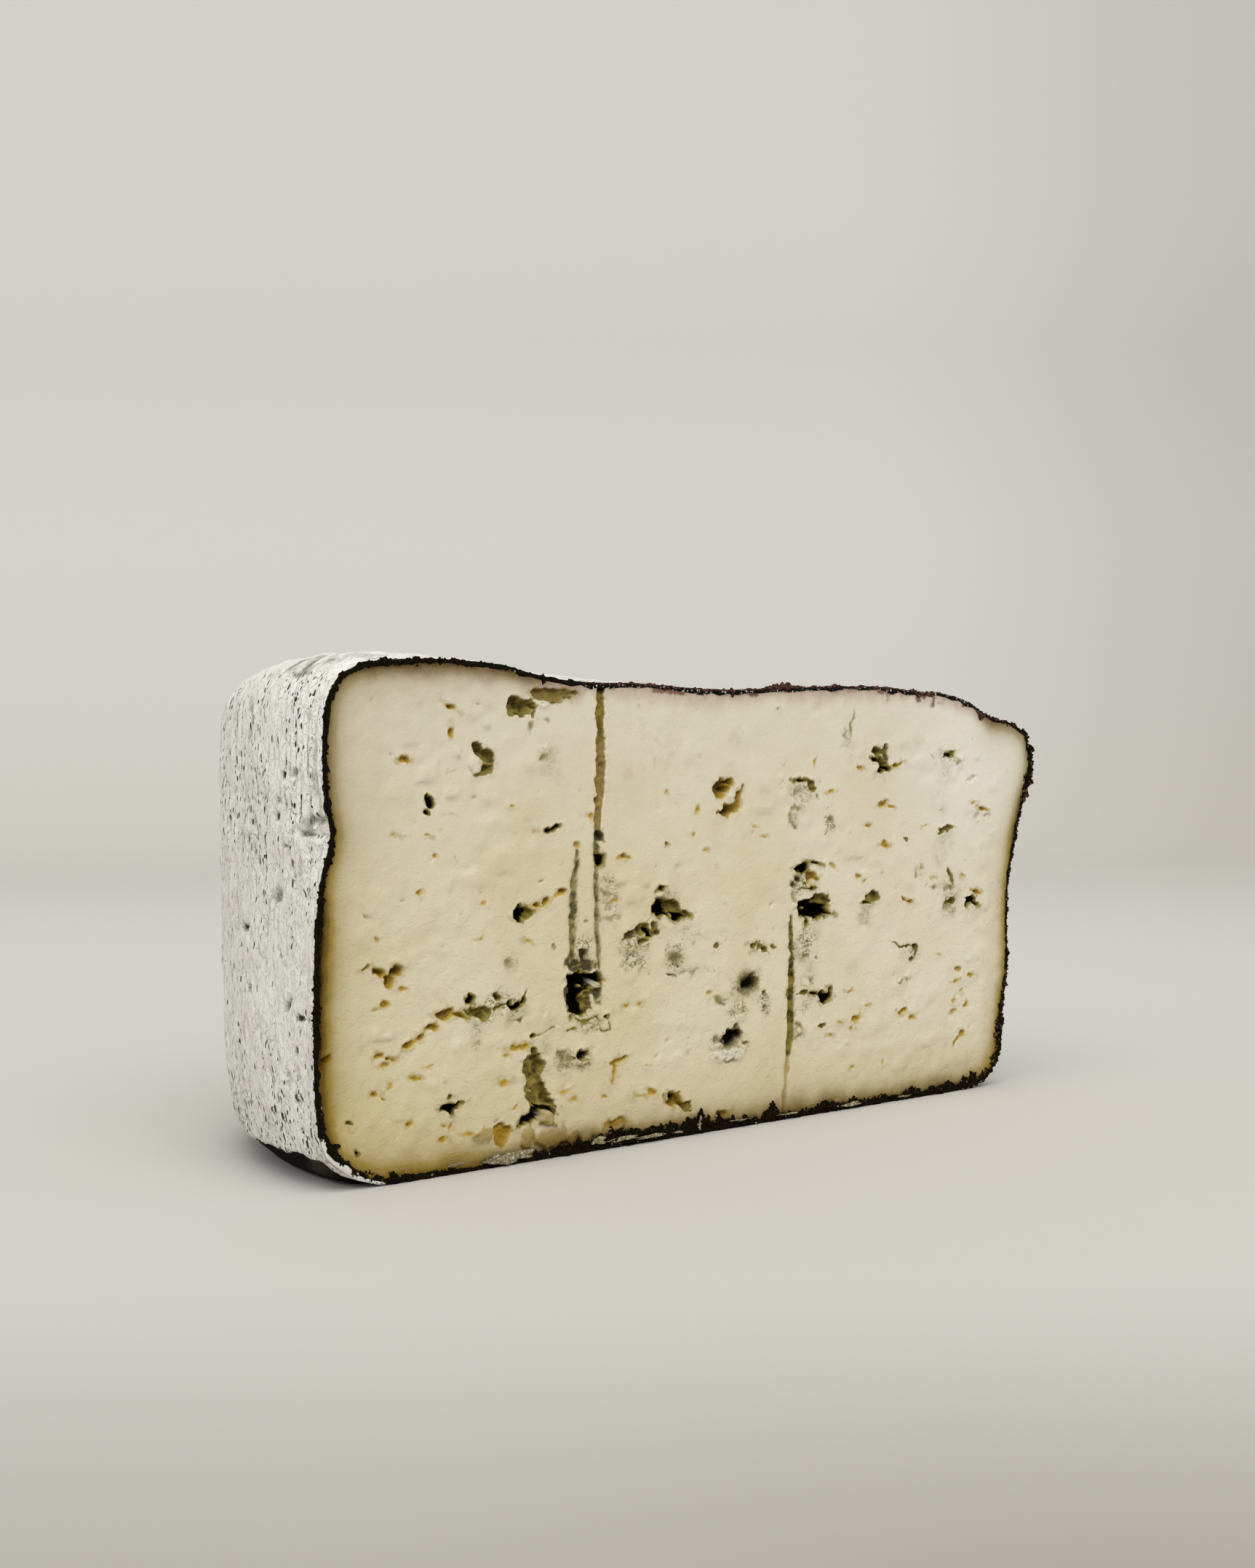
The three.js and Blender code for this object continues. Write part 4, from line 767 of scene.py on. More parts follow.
    def channel(self, lining, points):
        part = self.window(points, 4)
        x, z = self.x[part], self.z[part]
        away, place = line_distance(x + 0.3 * WARP(x / 2, z / 3, 2.2), z, points)
        width = np.interp(place, range(len(points)), [p[2] for p in points])
        width = width * (1 + 0.12 * self.crag[part] + 0.12 * self.ragged[part])
        across = np.clip(1 - away / (width / 2), 0, 1)
        sunk = width * 0.5 * across ** 0.55
        if lining in ("grey", "tan"):
            sunk = sunk * 0.45
        self.depth[part] = np.maximum(self.depth[part], sunk * (1 + 0.2 * self.crag[part]))
        self.depth[part] -= 0.12 * np.exp(-((away - width / 2 - 0.35) / 0.3) ** 2)
        on = smooth(width / 2 + 0.1, width / 2 - 0.3, away)
        speckle = np.clip(0.6 + 0.4 * self.blotch[part], 0, 1)
        if lining == "brown":
            self.add("brown", part, on)
            self.add("olive", part, 0.9 * on * smooth(80, 97, z) * (0.6 + 0.4 * speckle))
            self.add("black", part, 0.8 * on * smooth(99.5, 101.5, z) * smooth(104.5, 102.5, z))
        elif lining == "grey":
            self.add("mould", part, on * (0.6 + 0.4 * speckle))
        elif lining == "green":
            dark_side = smooth(-0.6, 0.6, x - 22)
            self.add("mould", part, on)
            self.add("olive", part, on * 0.6)
            self.add("black", part, 0.6 * on * dark_side * speckle * smooth(17, 25, z))
        else:
            self.add("tan", part, on * (0.7 + 0.3 * speckle))
        if lining in ("grey", "green"):
            halo = smooth(width / 2 + 1.4, width / 2, away + 0.3 * self.blotch[part])
            self.add("mould", part, 0.4 * halo * speckle)

    def lump(self, oval, rise):
        part, away = self.away([oval])
        on = smooth(0.12, -0.35, away)
        dome = smooth(0.2, -0.45 * min(oval[2], oval[3]), away)
        self.depth[part] -= rise * (0.6 * on + 0.4 * dome) * (1 + 0.12 * self.crag[part])
        self.clear(part, 0.9 * on, ("olive", "black", "ochre", "mould"))
        edge = smooth(0.5, 0.0, np.abs(away + 0.1))
        low_down = smooth(16, 10, self.z[part])
        self.add("tan", part, (0.15 + 0.6 * low_down) * on + 0.45 * edge * min(1, rise))

    def lace(self, oval, strength):
        """Where mould laces little lumps of curd: a soft map, which the material fills."""
        part = self.window([oval], max(oval[2], oval[3]) / 2 + 2)
        share = oval_share(*self.wavy(part), oval) + 0.3 * self.patch[part]
        here = strength * smooth(1.15, 0.35, share)
        x, z = self.wavy(part)
        vein = np.abs(ROUGH(x / 2.4, z / 1.8, 31.3))
        self.add("lace", part, here)
        self.add("shadow", part, here * (0.5 + 0.4 * smooth(-0.2, 0.8, self.patch[part])))
        self.depth[part] += here * (0.3 * smooth(0.2, 0.03, vein) - 0.16 * smooth(0.2, 0.7, vein))

    def stained(self, name, oval, strength):
        part = self.window([oval], max(oval[2], oval[3]) / 2 + 3)
        share = np.hypot((self.x[part] - oval[0]) * 2 / oval[2], (self.z[part] - oval[1]) * 2 / oval[3])
        share = share + 0.28 * self.patch[part] + 0.1 * self.blotch[part]
        self.add(name, part, strength * smooth(1.25, 0.15, share))

    def ticks(self, count, seed):
        """Small dents, nicks and crumb tears that the knife left all over."""
        rng = np.random.default_rng(seed)
        for _ in range(count):
            x, z = rng.uniform(-112, 112), rng.uniform(6, 99)
            length, height = rng.uniform(0.7, 2.6), rng.uniform(0.3, 0.75)
            oval = (x, z, length, height, rng.normal(0, 22))
            deep = rng.uniform(0.12, 0.4)
            tinted = rng.uniform(0, 1)
            part = self.window([oval], length / 2 + 1)
            share = oval_share(*self.wavy(part), oval)
            on = smooth(1.2, 0.2, share)
            self.depth[part] += deep * on
            self.add("tan", part, 0.7 * tinted ** 2 * on)
            self.add("mould", part, 0.5 * (1 - tinted) ** 3 * on)

    def finish(self):
        """Painted shade under what stands out and a painted highlight on what faces up, then the detail
        of each spot.
        """
        shade = np.zeros(self.x.shape)
        for reach, slope in self.OVERHANGS:
            drop = np.zeros(self.x.shape)
            drop[:-reach] = (self.depth[:-reach] - self.depth[reach:]) / (reach * self.CELL)
            shade = np.maximum(shade, smooth(slope, self.FULL_SHADE, drop))
        rise = np.zeros(self.x.shape)
        rise[2:] = (self.depth[2:] - self.depth[:-2]) / (2 * self.CELL)
        self.layer["shade"] = shade
        linings = [self.layer[name] for name in ("black", "olive", "ochre", "mould", "brown")]
        lined = np.clip(np.maximum.reduce(linings), 0, 1)
        self.layer["painted_highlight"] = smooth(0.2, 1.4, rise) * (1 - lined)
        steep = np.hypot(*np.gradient(self.depth, self.CELL))
        busy = smooth(0.5, 2.0, steep)
        for name, weight in self.EDGE_DETAIL.items():
            across = np.hypot(*np.gradient(self.layer[name], self.CELL))
            busy = np.maximum(busy, weight * smooth(0.1, 1.6, across))
        self.busy = self.widened(busy, 2)

    @staticmethod
    def widened(values, cells):
        """Each spot takes the highest value found within so many cells of it."""
        for axis in (0, 1):
            best = values.copy()
            for step in range(1, cells + 1):
                for shift in (step, -step):
                    best = np.maximum(best, np.roll(values, shift, axis))
            values = best
        return values

    def at(self, values, x, z):
        """A map's values at any places on the face."""
        column = np.clip((x - self.LEFT) / self.CELL, 0, self.COLUMNS - 1.001)
        row = np.clip((z - self.FOOT) / self.CELL, 0, self.ROWS - 1.001)
        c, r = column.astype(int), row.astype(int)
        u, v = column - c, row - r
        low = values[r, c] * (1 - u) + values[r, c + 1] * u
        high = values[r + 1, c] * (1 - u) + values[r + 1, c + 1] * u
        return low * (1 - v) + high * v


def laid_open():
    """The whole face as the knife left it."""
    face = CutFace()
    for name, ovals in (("shadow", SHADOWS_OF_MOULD), ("stain", WARM_STAINS)):
        for *oval, strength in ovals:
            face.stained(name, oval, strength)
    face.ticks(TICKS, TICK_SEED)
    for *oval, strength in LACE:
        face.lace(oval, strength)
    for lining, points in NEEDLE_CHANNELS:
        face.channel(lining, points)
    for deep, dark, oval in MOULD_HOLLOWS:
        face.mould_hollow(deep, dark, oval)
    for lining, strokes in STROKES.items():
        for width, deep, points in strokes:
            face.stroke(lining, width, deep, points)
    for k, oval in enumerate(EYES):
        face.eye(oval, EYE_STRENGTHS[k % len(EYE_STRENGTHS)])
    for oval in PALE_EYES:
        face.eye(oval, PALE_EYE_STRENGTH)
    for lining, tears in TEARS.items():
        for deep, ovals in tears:
            face.tear(deep, lining, ovals)
    deep, oval = BROWN_RECESS
    part, away = face.away([oval])
    face.dig(part, away, deep)
    face.add("ochre", part, 0.8 * smooth(0.5, -0.4, away))
    face.add("brown", part, 0.9 * smooth(0.3, -0.8, away))
    for *oval, rise in LUMPS:
        face.lump(oval, rise)
    for *oval, rise in WHITE_FLUFF:
        part, away = face.away([oval])
        on = smooth(0.3, -0.3, away)
        face.depth[part] -= rise * on
        face.clear(part, 0.85 * on, ("mould", "black", "shadow", "ochre"))
        face.add("pale", part, 0.6 * on)
    for *oval, strength in PURPLE_MARKS:
        part, away = face.away([oval])
        face.add("purple", part, strength * smooth(0.35, -0.3, away))
    face.finish()
    return face


def rim_distance(x, z, outline, at_once=4000):
    """Distance from each point of the face to the cut's outline, worked out so many at once."""
    result = np.full(len(x), 1e9)
    for start in range(0, len(x), at_once):
        block = slice(start, start + at_once)
        gaps = np.hypot(x[block, None] - outline[None, :, 0], z[block, None] - outline[None, :, 1])
        result[block] = gaps.min(1)
    return result


# How wide the crust is, in millimetres: by height at the two sides, by x along the top and foot.
CRUST_WIDTHS = {
    "left": [(8, 1.3), (20, 0.45), (32, 0.8), (45, 1.0), (58, 0.9), (66, 0.6), (80, 0.6), (100, 0.8)],
    "right": [(8, 2.0), (14, 1.7), (24, 0.7), (50, 0.5), (70, 0.8), (80, 0.4), (96, 0.5)],
    "top": [(-112, 0.8), (-95, 0.9), (-75, 0.55), (-50, 0.22), (95, 0.22), (112, 0.6)],
    "foot": [(-116, 1.3), (-104, 1.0), (-95, 1.1), (-78, 1.1), (-60, 1.6), (-45, 2.9), (-35, 2.9),
             (-25, 2.2), (-10, 2.6), (10, 2.4), (25, 1.8), (50, 1.8), (75, 1.7), (95, 2.4), (108, 2.2)],
}
CRUST_LIMITS = (0.15, 4.0)  # its least and its greatest width
MOST_SOAKED = 4  # coats of the crust's brown over the paste beside it
LEFT_END = -118  # the x where the face ends at the left


def crust_width(x, z):
    """How wide the crust is along the cut's outline, in millimetres."""
    width = {side: np.interp(x if side in ("top", "foot") else z, *zip(*table))
             for side, table in CRUST_WIDTHS.items()}
    here = np.where(x < 0, width["left"], width["right"])
    foot, top = smooth(8, 3, z), smooth(94, 99, z)
    here = here + (width["foot"] - here) * foot + (width["top"] - here) * top
    patchy = 0.5 * ROUGH(x / 5, z / 5, 12.5) + 0.2 * ROUGH(x / 1.9, z / 1.9, 13.5)
    return np.clip(here * (1 + 0.8 * patchy), *CRUST_LIMITS)


def rim_marks(x, z, edge):
    """The bands of colour that follow the rim of the face."""
    left = smooth(-60, -104, x) * smooth(2, 22, z)
    right = smooth(88, 108, x)
    top = smooth(88, 98, z)
    foot = smooth(16, 5, z)
    thin_top = top * smooth(-64, -54, x) * smooth(106, 96, x)
    width = crust_width(x, z)
    upper_right = right * smooth(76, 82, z)
    bulge = right * smooth(60, 68, z)
    beyond = edge - width - 1.5 - left * (0.7 - 1.0 * smooth(50, 66, z))
    beyond = beyond - 0.9 * bulge + 0.6 * upper_right
    soaked = np.exp(-beyond / (1.5 + 0.2 * right + 0.4 * foot)) * (1 - 0.85 * thin_top)
    soaked = np.minimum(soaked, MOST_SOAKED - 1.9 * left * smooth(32, 24, z) - 2.6 * upper_right)
    yellow_left = (0.55 + 0.2 * smooth(40, 20, z)) * left * np.exp(-edge / 9)
    yellow_right = (0.35 + 0.4 * smooth(32, 12, z)) * right * np.exp(-edge / 10)
    yellow_foot = 0.42 * np.exp(-z / 12) * smooth(-116, -108, x)
    yellow_top = 0.35 * top * smooth(-60, -80, x) * np.exp(-edge / 7)
    yellow = np.maximum.reduce([yellow_left + yellow_right, yellow_foot, yellow_top])
    soaked = np.minimum(soaked + yellow, MOST_SOAKED)
    blush_depth = 2.4 + 1.6 * ROUGH(x / 5, 0.5, 2.5) + 1.2 * ROUGH(x / 1.8, 1.5, 2.5)
    blush = smooth(blush_depth + 3.0, 0.2, edge) * top * smooth(113, 104, x) * smooth(-114, -104, x)
    soot = smooth(blush_depth + 2.2, 0.0, edge) * top * smooth(-36, -50, x) * smooth(-114, -104, x)
    greyer = np.maximum(foot * smooth(-90, -60, x) * smooth(105, 90, x), smooth(60, 82, z))
    yellowed = 0.08 + 0.18 * smooth(60, 40, z) + 0.36 * smooth(30, 14, z)
    yellowed = yellowed * np.exp(-(x - LEFT_END) / 26)
    return {"band": edge / width, "soaked": soaked, "greyer": greyer, "yellowed": yellowed,
            "blush": np.clip(blush, 0, 1), "soot": 0.6 * np.clip(soot, 0, 1)}


# ---- shader maths ----

class Value:
    """A socket that holds a number or a vector, so that sums can be written as expressions."""

    def __init__(self, maker, socket):
        self.maker = maker
        self.socket = socket

    def _math(self, operation, *others):
        return self.maker.node("ShaderNodeMath", {"operation": operation},
                               dict(enumerate((self, *others))))

    def __add__(self, other):
        return self._math("ADD", other)

    def __sub__(self, other):
        return self._math("SUBTRACT", other)

    def __rsub__(self, other):
        return self.maker.node("ShaderNodeMath", {"operation": "SUBTRACT"}, {0: other, 1: self})

    def __mul__(self, other):
        return self._math("MULTIPLY", other)

    __radd__ = __add__
    __rmul__ = __mul__

    def max(self, other):
        return self._math("MAXIMUM", other)

    def min(self, other):
        return self._math("MINIMUM", other)

    def size(self):
        return self._math("ABSOLUTE")

    def clamped(self):
        return self.max(0.0).min(1.0)


class Maker:
    """One material and the nodes in it."""

    def __init__(self, name, roughness, **constants):
        self.material = bpy.data.materials.new(name)
        self.material.use_nodes = True
        self.tree = self.material.node_tree
        self.shader = self.tree.nodes["Principled BSDF"]
        self.shader.inputs["Roughness"].default_value = roughness
        self.colour = None
        for socket, value in constants.items():
            self.shader.inputs[socket.replace("_", " ")].default_value = value

    def node(self, kind, settings, inputs, output=0):
        node = self.tree.nodes.new(kind)
        for name, value in settings.items():
            setattr(node, name, value)
        for name, value in inputs.items():
            socket = node.inputs[name]
            if isinstance(value, Value):
                self.tree.links.new(value.socket, socket)
            elif isinstance(value, tuple) and socket.type == "RGBA":
                socket.default_value = (*value, 1)
            else:
                socket.default_value = value
        return Value(self, node.outputs[output])

    def feed(self, socket, value):
        self.tree.links.new(value.socket, self.shader.inputs[socket])

    def place(self):
        return self.node("ShaderNodeTexCoord", {}, {}, "Object")

    def attribute(self, name, output="Fac"):
        return self.node("ShaderNodeAttribute", {"attribute_name": name}, {}, output)

    def parts(self, vector):
        split = self.node("ShaderNodeSeparateXYZ", {}, {"Vector": vector})
        outputs = split.socket.node.outputs
        return [Value(self, outputs[k]) for k in range(3)]

    def stretched(self, vector, scale):
        return self.node("ShaderNodeVectorMath", {"operation": "MULTIPLY"}, {0: vector, 1: scale})

    def noise(self, vector, size, detail=2.0, rough=0.55):
        """Noise of about 0 to 1 with features of the given size in millimetres."""
        return self.node("ShaderNodeTexNoise", {}, {
            "Vector": vector, "Scale": 1 / (size * MM), "Detail": detail, "Roughness": rough}, "Fac")

    def bent(self, vector, size, amount):
        """The vector moved about by noise, both in millimetres."""
        drift = self.node("ShaderNodeTexNoise", {}, {
            "Vector": vector, "Scale": 1 / (size * MM), "Detail": 2.0}, "Color")
        return self.node("ShaderNodeVectorMath", {"operation": "MULTIPLY_ADD"},
                         {0: drift, 1: (amount * MM,) * 3, 2: vector})

    def cells(self, vector, size, output):
        return self.node("ShaderNodeTexVoronoi", {"feature": "F1"}, {
            "Vector": vector, "Scale": 1 / (size * MM), "Randomness": 1.0}, output)

    def step(self, value, low, high):
        """0 at low and 1 at high, smooth between them, whichever of the two is greater."""
        return self.node("ShaderNodeMapRange", {"interpolation_type": "SMOOTHSTEP"}, {
            "Value": value, "From Min": min(low, high), "From Max": max(low, high),
            "To Min": 0.0 if low < high else 1.0, "To Max": 1.0 if low < high else 0.0})

    def blend(self, share, first, second, way="MIX"):
        """first where share is 0 and second where it is 1, as colours."""
        node = self.tree.nodes.new("ShaderNodeMix")
        node.data_type = "RGBA"
        node.blend_type = way
        sockets = {s.identifier: s for s in node.inputs}
        for identifier, value in (("Factor_Float", share), ("A_Color", first), ("B_Color", second)):
            if isinstance(value, Value):
                self.tree.links.new(value.socket, sockets[identifier])
            elif isinstance(value, tuple):
                sockets[identifier].default_value = (*value, 1)
            else:
                sockets[identifier].default_value = value
        result = next(s for s in node.outputs if s.identifier == "Result_Color")
        return Value(self, result)

    def coat(self, share, tint, way="MIX"):
        """Lays a tint over the colour so far, as much as the share says."""
        self.colour = self.blend(share, self.colour, tint, way)

    def bump(self, height, distance, strength=1.0):
        """A normal from a height of 0 to 1 that stands for so many millimetres."""
        return self.node("ShaderNodeBump", {}, {
            "Height": height, "Distance": distance * MM, "Strength": strength})


IVORY = (0.84, 0.76, 0.575)
IVORY_WARM = (0.78, 0.68, 0.455)
BLUSH = (0.55, 0.37, 0.29)
PURPLE = (0.20, 0.088, 0.068)
SMOKE = (0.40, 0.355, 0.21)
MOULD_GREY = (0.32, 0.265, 0.10)
MOULD_DARK = (0.022, 0.018, 0.005)
OLIVE = (0.38, 0.30, 0.06)
OLIVE_DEEP = (0.075, 0.054, 0.004)
OCHRE = (0.61, 0.405, 0.035)
OCHRE_DEEP = (0.22, 0.115, 0.005)
TAN = (0.45, 0.345, 0.11)
STAIN = (0.52, 0.39, 0.20)
HOLE_BLACK = (0.0035, 0.0028, 0.0008)
CRUST_BLACK = (0.007, 0.0045, 0.0016)
LEDGE_SHADE = (0.22, 0.17, 0.08)
SOAKED = (0.52, 0.435, 0.19)  # what a coat of the crust's brown lets through
SOAKED_GREYER = (0.52, 0.455, 0.31)
SOAKED_DEEP = (0.16, 0.11, 0.05)
BROWN = (0.26, 0.17, 0.05)
SOOT = (0.30, 0.225, 0.165)
IVORY_PALE = (0.88, 0.82, 0.685)
IVORY_BRIGHT = (0.94, 0.90, 0.785)
YELLOWED = (0.72, 0.66, 0.22)  # what the paste's yellow lets through, low on the left
# pale curd, and also the colour of the painted highlight
PALE_AND_HIGHLIGHT = (0.82, 0.79, 0.70)


def paste_material():
    m = Maker("cheese_paste", 0.5, Specular_IOR_Level=0.07, Subsurface_Weight=0.05,
              Subsurface_Scale=0.0012)
    where = m.place()
    fine = m.noise(where, 0.4, 3.0)
    grain = m.noise(where, 1.5, 3.0)
    patch = m.noise(where, 11.0, 2.0)
    cloud = m.noise(where, 36.0, 1.0)
    off = fine - 0.5

    m.colour = m.blend(m.step(patch * 0.6 + cloud * 0.6, 0.42, 0.85), IVORY, IVORY_WARM)
    across, _, height = m.parts(where)
    to_the_right = m.step(across, -20 * MM, 100 * MM)
    high_up = m.step(height, 60 * MM, 104 * MM)
    m.coat((to_the_right * 0.6).max(high_up * 0.7), IVORY_PALE)
    bright = m.step(across, 50 * MM, 100 * MM) * m.step(height, 55 * MM, 85 * MM)
    m.coat(bright * 0.85, IVORY_BRIGHT)
    m.coat(m.step(height, 24 * MM, 0.0) * 0.8, IVORY_WARM)
    m.coat(m.attribute("yellowed").clamped(), YELLOWED, "MULTIPLY")
    m.coat(m.step(grain, 0.55, 0.8) * 0.22, PALE_AND_HIGHLIGHT)
    stain = m.attribute("stain") * m.step(grain, 0.3, 0.7)
    m.coat(stain.clamped(), STAIN)
    m.coat((m.attribute("blush") * (0.2 + grain * 0.9)).clamped(), BLUSH)
    soot = m.attribute("soot") * (0.35 + m.step(m.noise(where, 3.0, 4.0), 0.3, 0.7) * 0.65)
    m.coat(soot.clamped(), SOOT)
    shadow = m.attribute("shadow") * m.step(m.noise(where, 2.6, 4.0), 0.3, 0.7)
    m.coat((shadow * 1.15).clamped(), SMOKE)

    tan = m.attribute("tan") + off * 0.3
    m.coat(m.step(tan, 0.1, 0.9) * 0.9, TAN)
    veined = m.bent(m.stretched(where, (1, 1, 1.45)), 2.2, 1.4)
    thread = m.step((m.noise(veined, 2.8, 3.0) - 0.5).size(), 0.045, 0.005)
    clump = m.step(m.noise(veined, 1.7, 4.0, 0.65), 0.54, 0.66)
    mould = m.attribute("mould").max(m.attribute("lace") * (thread * 0.8).max(clump) * 1.4)
    furry = mould + off * 0.45 + (grain - 0.5) * 0.35
    tint = m.blend(m.step(furry, 0.6, 1.1), MOULD_GREY, MOULD_DARK)
    m.coat(m.step(furry, 0.08, 0.8) * 0.95, tint)
    brown = m.attribute("brown")
    brown_tint = m.blend(m.step(grain + off, 0.3, 0.8), BROWN, OLIVE)
    m.coat(m.step(brown + off * 0.7, 0.2, 0.8) * 0.95, brown_tint)
    ochre = m.attribute("ochre")
    deepest = m.step(ochre + off * 0.8 + (grain - 0.5) * 0.6, 0.8, 1.3)
    ochre_tint = m.blend(deepest, OCHRE, OCHRE_DEEP)
    m.coat(m.step(ochre + off * 0.5, 0.12, 0.75) * 0.92, ochre_tint)
    olive = m.attribute("olive")
    curdled = m.noise(where, 2.2, 4.0)
    olive_tint = m.blend(m.step(curdled + off * 0.2, 0.38, 0.78), OLIVE, OLIVE_DEEP)
    m.coat(m.step(olive + off * 0.5, 0.15, 0.75) * 0.95, olive_tint)
    black = m.attribute("black")
    # Near black in the holes and creases: dark mould, and painted shade where they run deep.
    m.coat(m.step(black + off * 0.35, 0.15, 0.8), HOLE_BLACK)
    purple = m.attribute("purple")
    blotched = m.step(purple + off * 0.7 + (grain - 0.5) * 0.5, 0.2, 0.9)
    m.coat(blotched * 0.9, PURPLE)
    m.coat(m.step(m.attribute("pale") + off * 0.5, 0.2, 0.9) * 0.9, PALE_AND_HIGHLIGHT)

    # Painted shade under ledges and overhangs, and a painted highlight on what faces up.
    m.coat((m.attribute("shade") * 0.72).clamped(), LEDGE_SHADE, "MULTIPLY")
    m.coat((m.attribute("painted_highlight") * 0.35).clamped(), PALE_AND_HIGHLIGHT)
    soaked = m.attribute("soaked") * (0.75 + m.noise(where, 2.2, 4.0, 0.65) * 0.5)
    veil = m.blend(m.attribute("greyer").clamped(), SOAKED, SOAKED_GREYER)
    m.coat(soaked.clamped(), veil, "MULTIPLY")
    m.coat((soaked - 1).clamped(), veil, "MULTIPLY")
    m.coat(((soaked - 2) * 0.5).clamped(), SOAKED_DEEP, "MULTIPLY")
    crust = m.step(m.attribute("band") + (m.noise(where, 0.9, 4.0) - 0.5) * 1.6, 1.2, 0.8)
    m.coat(crust, CRUST_BLACK)
    m.feed("Base Color", m.colour)

    dry = (crust + black + olive).clamped()
    rough = 0.44 + fine * 0.2 + m.step(furry, 0.2, 0.8) * 0.3 + dry * 0.4
    m.feed("Roughness", rough.clamped())
    ledges = m.step(m.noise(veined, 3.6, 3.0), 0.46, 0.54) * m.step(height, 85 * MM, 45 * MM)
    fur = (m.noise(where, 0.7, 3.0) - 0.5) * furry.clamped()
    relief = grain * 0.35 + fine * 0.22 + ledges * 0.16 + fur * 0.8
    m.feed("Normal", m.bump(relief, 0.45, 0.8))
    return m.material


WHITE_BLOOM = (0.95, 0.935, 0.885)
WARM_BLOOM = (0.88, 0.86, 0.785)
# grey of the bloom, and of the painted shade in the wall's hollows
GREY_BLOOM_AND_SHADE = (0.38, 0.365, 0.325)
LOWER_BLOOM = (0.85, 0.84, 0.82)  # what the bloom keeps of its light below the shoulder
# painted shade in the dents, and the grey of the worn shoulder
DENT_SHADE_AND_WEAR = (0.27, 0.255, 0.215)
FLECK = (0.012, 0.010, 0.006)
UNDERSIDE_DARK_AND_SHADE = (0.004, 0.003, 0.0015)
UNDERSIDE_RIDGE_LIT = (0.045, 0.036, 0.021)


def rind_material():
    m = Maker("white_rind", 0.9, Specular_IOR_Level=0.1)
    where = m.place()
    wrap = m.attribute("wrap", "Vector")
    lid = m.attribute("lid")
    wall = 1 - lid
    low = m.attribute("low")
    fine = m.noise(where, 0.45, 3.0)
    grain = m.noise(where, 1.5, 4.0)
    patch = m.noise(where, 8.0, 3.0)
    cloud = m.noise(where, 34.0, 2.0)
    off = fine - 0.5

    m.colour = m.blend(m.step(patch * 0.7 + cloud * 0.5, 0.42, 0.8), WHITE_BLOOM, WARM_BLOOM)
    lower = m.step(m.parts(where)[2], 85 * MM, 60 * MM)
    m.coat(lower * 0.5, LOWER_BLOOM, "MULTIPLY")
    m.coat(m.step(grain, 0.55, 0.8) * 0.16, GREY_BLOOM_AND_SHADE)
    # Painted shade in the hollows and creases of the wall.
    m.coat(m.step(m.attribute("hollow") + off * 0.5, 0.25, 1.0) * 0.5, GREY_BLOOM_AND_SHADE)

    tall = m.stretched(wrap, (1.0, 0.38, 1.0))
    wavy = m.bent(tall, 1.2, 0.9)
    seam = m.step((m.noise(wavy, 1.4, 2.0) - 0.5).size(), 0.035, 0.0)
    broken = m.step(m.noise(tall, 3.4, 2.0), 0.48, 0.62)
    m.coat(seam * broken * wall * 0.42, GREY_BLOOM_AND_SHADE)
    columns = m.noise(m.stretched(wrap, (1.0, 0.05, 1.0)), 2.6, 2.0)
    thick = m.step(columns + low * 0.22 + (m.noise(tall, 7.0, 2.0) - 0.5) * 0.5, 0.42, 0.68)

    def flecks(size, seldom, reach):
        spots = m.cells(wavy, size, "Distance")
        chance = m.parts(m.cells(wavy, size, "Color"))[0]
        return m.step(spots, reach, reach * 0.7) * m.step(chance + thick * 0.42, seldom, seldom + 0.12)

    marks = flecks(0.8, 0.86, 0.36).max(flecks(0.5, 0.95, 0.38)).max(flecks(1.4, 1.04, 0.3))
    specks = m.step(m.noise(where, 0.62, 2.0), 0.66, 0.73) * m.step(m.noise(tall, 5.0), 0.45, 0.62)
    marks = (marks * wall + specks * 0.6).clamped()
    halo = m.step(m.noise(wavy, 0.9, 2.0) + thick * 0.12, 0.56, 0.72)
    m.coat(halo * wall * 0.16, GREY_BLOOM_AND_SHADE)
    groove = m.step(m.attribute("groove") + off * 0.8, 0.55, 0.95)
    m.coat(groove * 0.85, FLECK)
    m.coat(marks * 0.96, FLECK)

    # Painted shade in the dents, darkest in the deepest, and the worn grey of the shoulder.
    shade_and_wear = m.attribute("shade_and_wear")
    m.coat(m.step(shade_and_wear + (grain - 0.5) * 0.6, 0.25, 0.95) * 0.85, DENT_SHADE_AND_WEAR)
    m.coat(m.step(shade_and_wear + off * 0.9, 0.75, 1.15) * 0.9, FLECK)
    # The underside: partly a darker rind and partly painted shade under the lip, with the ridges of its
    # folds painted lighter as if lit.
    ridge = m.step(m.attribute("fold") + off * 0.4, 0.5, 1.0)
    fold = m.blend(ridge, UNDERSIDE_DARK_AND_SHADE, UNDERSIDE_RIDGE_LIT)
    m.coat(m.step(m.attribute("foot") + off * 0.5, 0.3, 0.7), fold)

    teeth = m.noise(where, 0.8, 3.0) - 0.5
    m.coat(m.step(m.attribute("behind") + teeth * 1.4, 0.34, 0.22), CRUST_BLACK)
    m.feed("Base Color", m.colour)

    relief = grain * 0.55 + fine * 0.35 - seam * 0.3 - marks * 0.8 + patch * 0.3
    m.feed("Normal", m.bump(relief, 0.55, 0.85))
    return m.material


CRUST_BROWN = (0.024, 0.016, 0.006)
CRUST_BITS = (0.20, 0.13, 0.055)  # paler bits in the crust, towards the right
PURPLE_CRUST = (0.035, 0.014, 0.009)
PURPLE_CRUST_PALE = (0.19, 0.09, 0.065)
